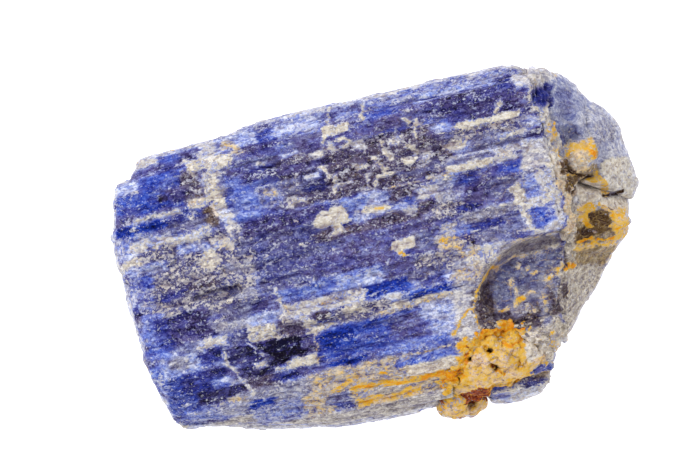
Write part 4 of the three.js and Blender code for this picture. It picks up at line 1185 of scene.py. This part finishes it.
contact_mineral = stone("contact_mineral", contrast=0.5, gloss=0.5, bump=0.12)
rock_mineral = stone("iron_stained_rock", contrast=0.4, gloss=0.7, bump=0.16, crust_share=1.1)
blue_crystals.data.materials.append(stone("blue_sapphire_rough", contrast=1.0, gloss=0.42, bump=0.14))
end_crystal.data.materials.append(stone("grey_sapphire_rough", contrast=0.85, gloss=0.4, bump=0.1))
violet_crystal.data.materials.append(stone("violet_sapphire_rough", contrast=0.8, gloss=0.3, bump=0.1))
for piece, mineral in (
        (contact_crust, contact_mineral), (contact_grit, contact_mineral),
        (iron_rock, rock_mineral), (rock_foot, rock_mineral)):
    piece.data.materials.append(mineral)


# ---------------------------------------------------------------------------------------------------
# The table, the lights and the camera
# ---------------------------------------------------------------------------------------------------

TABLE = 1.5  # half its width, m
TABLE_DROP = 0.00005  # how far the table lies below the stone, so that the two don't touch, m
TABLE_GLOW = 0.6
ROOM_LIGHT = 1.04
WINDOW_POWER = 2.9
WINDOW_WIDTH = 0.35
WINDOW_PLACE = (-0.35, 0.35, 0.55)
WINDOW_AIM = (0, 0, 0.01)
LENS = 250
SENSOR = 36
FRAME_WIDTH = 0.08295  # what the camera takes in across, at the level below, m
FRAME_LEVEL = 0.014  # about two thirds of the stone's height, m
CAMERA_MIDDLE = (-0.00388, 0.00463)
CAMERA_TURN = -13  # degrees

table_mesh = bpy.data.meshes.new("table")
table_mesh.from_pydata(
    [(-TABLE, -TABLE, 0), (TABLE, -TABLE, 0), (TABLE, TABLE, 0), (-TABLE, TABLE, 0)], [], [(0, 1, 2, 3)])
table = bpy.data.objects.new("table", table_mesh)
table.location.z = -TABLE_DROP
bpy.context.scene.collection.objects.link(table)
white = bpy.data.materials.new("white_table")
white.use_nodes = True
table_shader = white.node_tree.nodes["Principled BSDF"]
table_shader.inputs["Base Color"].default_value = (0.9, 0.9, 0.9, 1)
table_shader.inputs["Roughness"].default_value = 0.9
table_shader.inputs["Emission Color"].default_value = (1, 1, 1, 1)
table_shader.inputs["Emission Strength"].default_value = TABLE_GLOW
table_mesh.materials.append(white)

world = bpy.data.worlds.new("studio")
world.use_nodes = True
world.node_tree.nodes["Background"].inputs["Color"].default_value = (1, 1, 1, 1)
world.node_tree.nodes["Background"].inputs["Strength"].default_value = ROOM_LIGHT
bpy.context.scene.world = world
bpy.context.scene.view_settings.view_transform = "Standard"

window_light = bpy.data.lights.new("window", "AREA")
window_light.energy = WINDOW_POWER
window_light.shape = "DISK"
window_light.size = WINDOW_WIDTH
window = bpy.data.objects.new("window", window_light)
window.location = WINDOW_PLACE
window.rotation_euler = (Vector(WINDOW_AIM) - Vector(WINDOW_PLACE)).to_track_quat("-Z", "Y").to_euler()
bpy.context.scene.collection.objects.link(window)

camera_data = bpy.data.cameras.new("camera")
camera_data.lens = LENS
camera_data.sensor_width = SENSOR
camera_data.clip_start = 0.01
camera_data.clip_end = 10
camera = bpy.data.objects.new("camera", camera_data)
camera.location = (*CAMERA_MIDDLE, FRAME_LEVEL + FRAME_WIDTH * LENS / SENSOR)
camera.rotation_euler = (0, 0, math.radians(CAMERA_TURN))
bpy.context.scene.collection.objects.link(camera)
bpy.context.scene.camera = camera
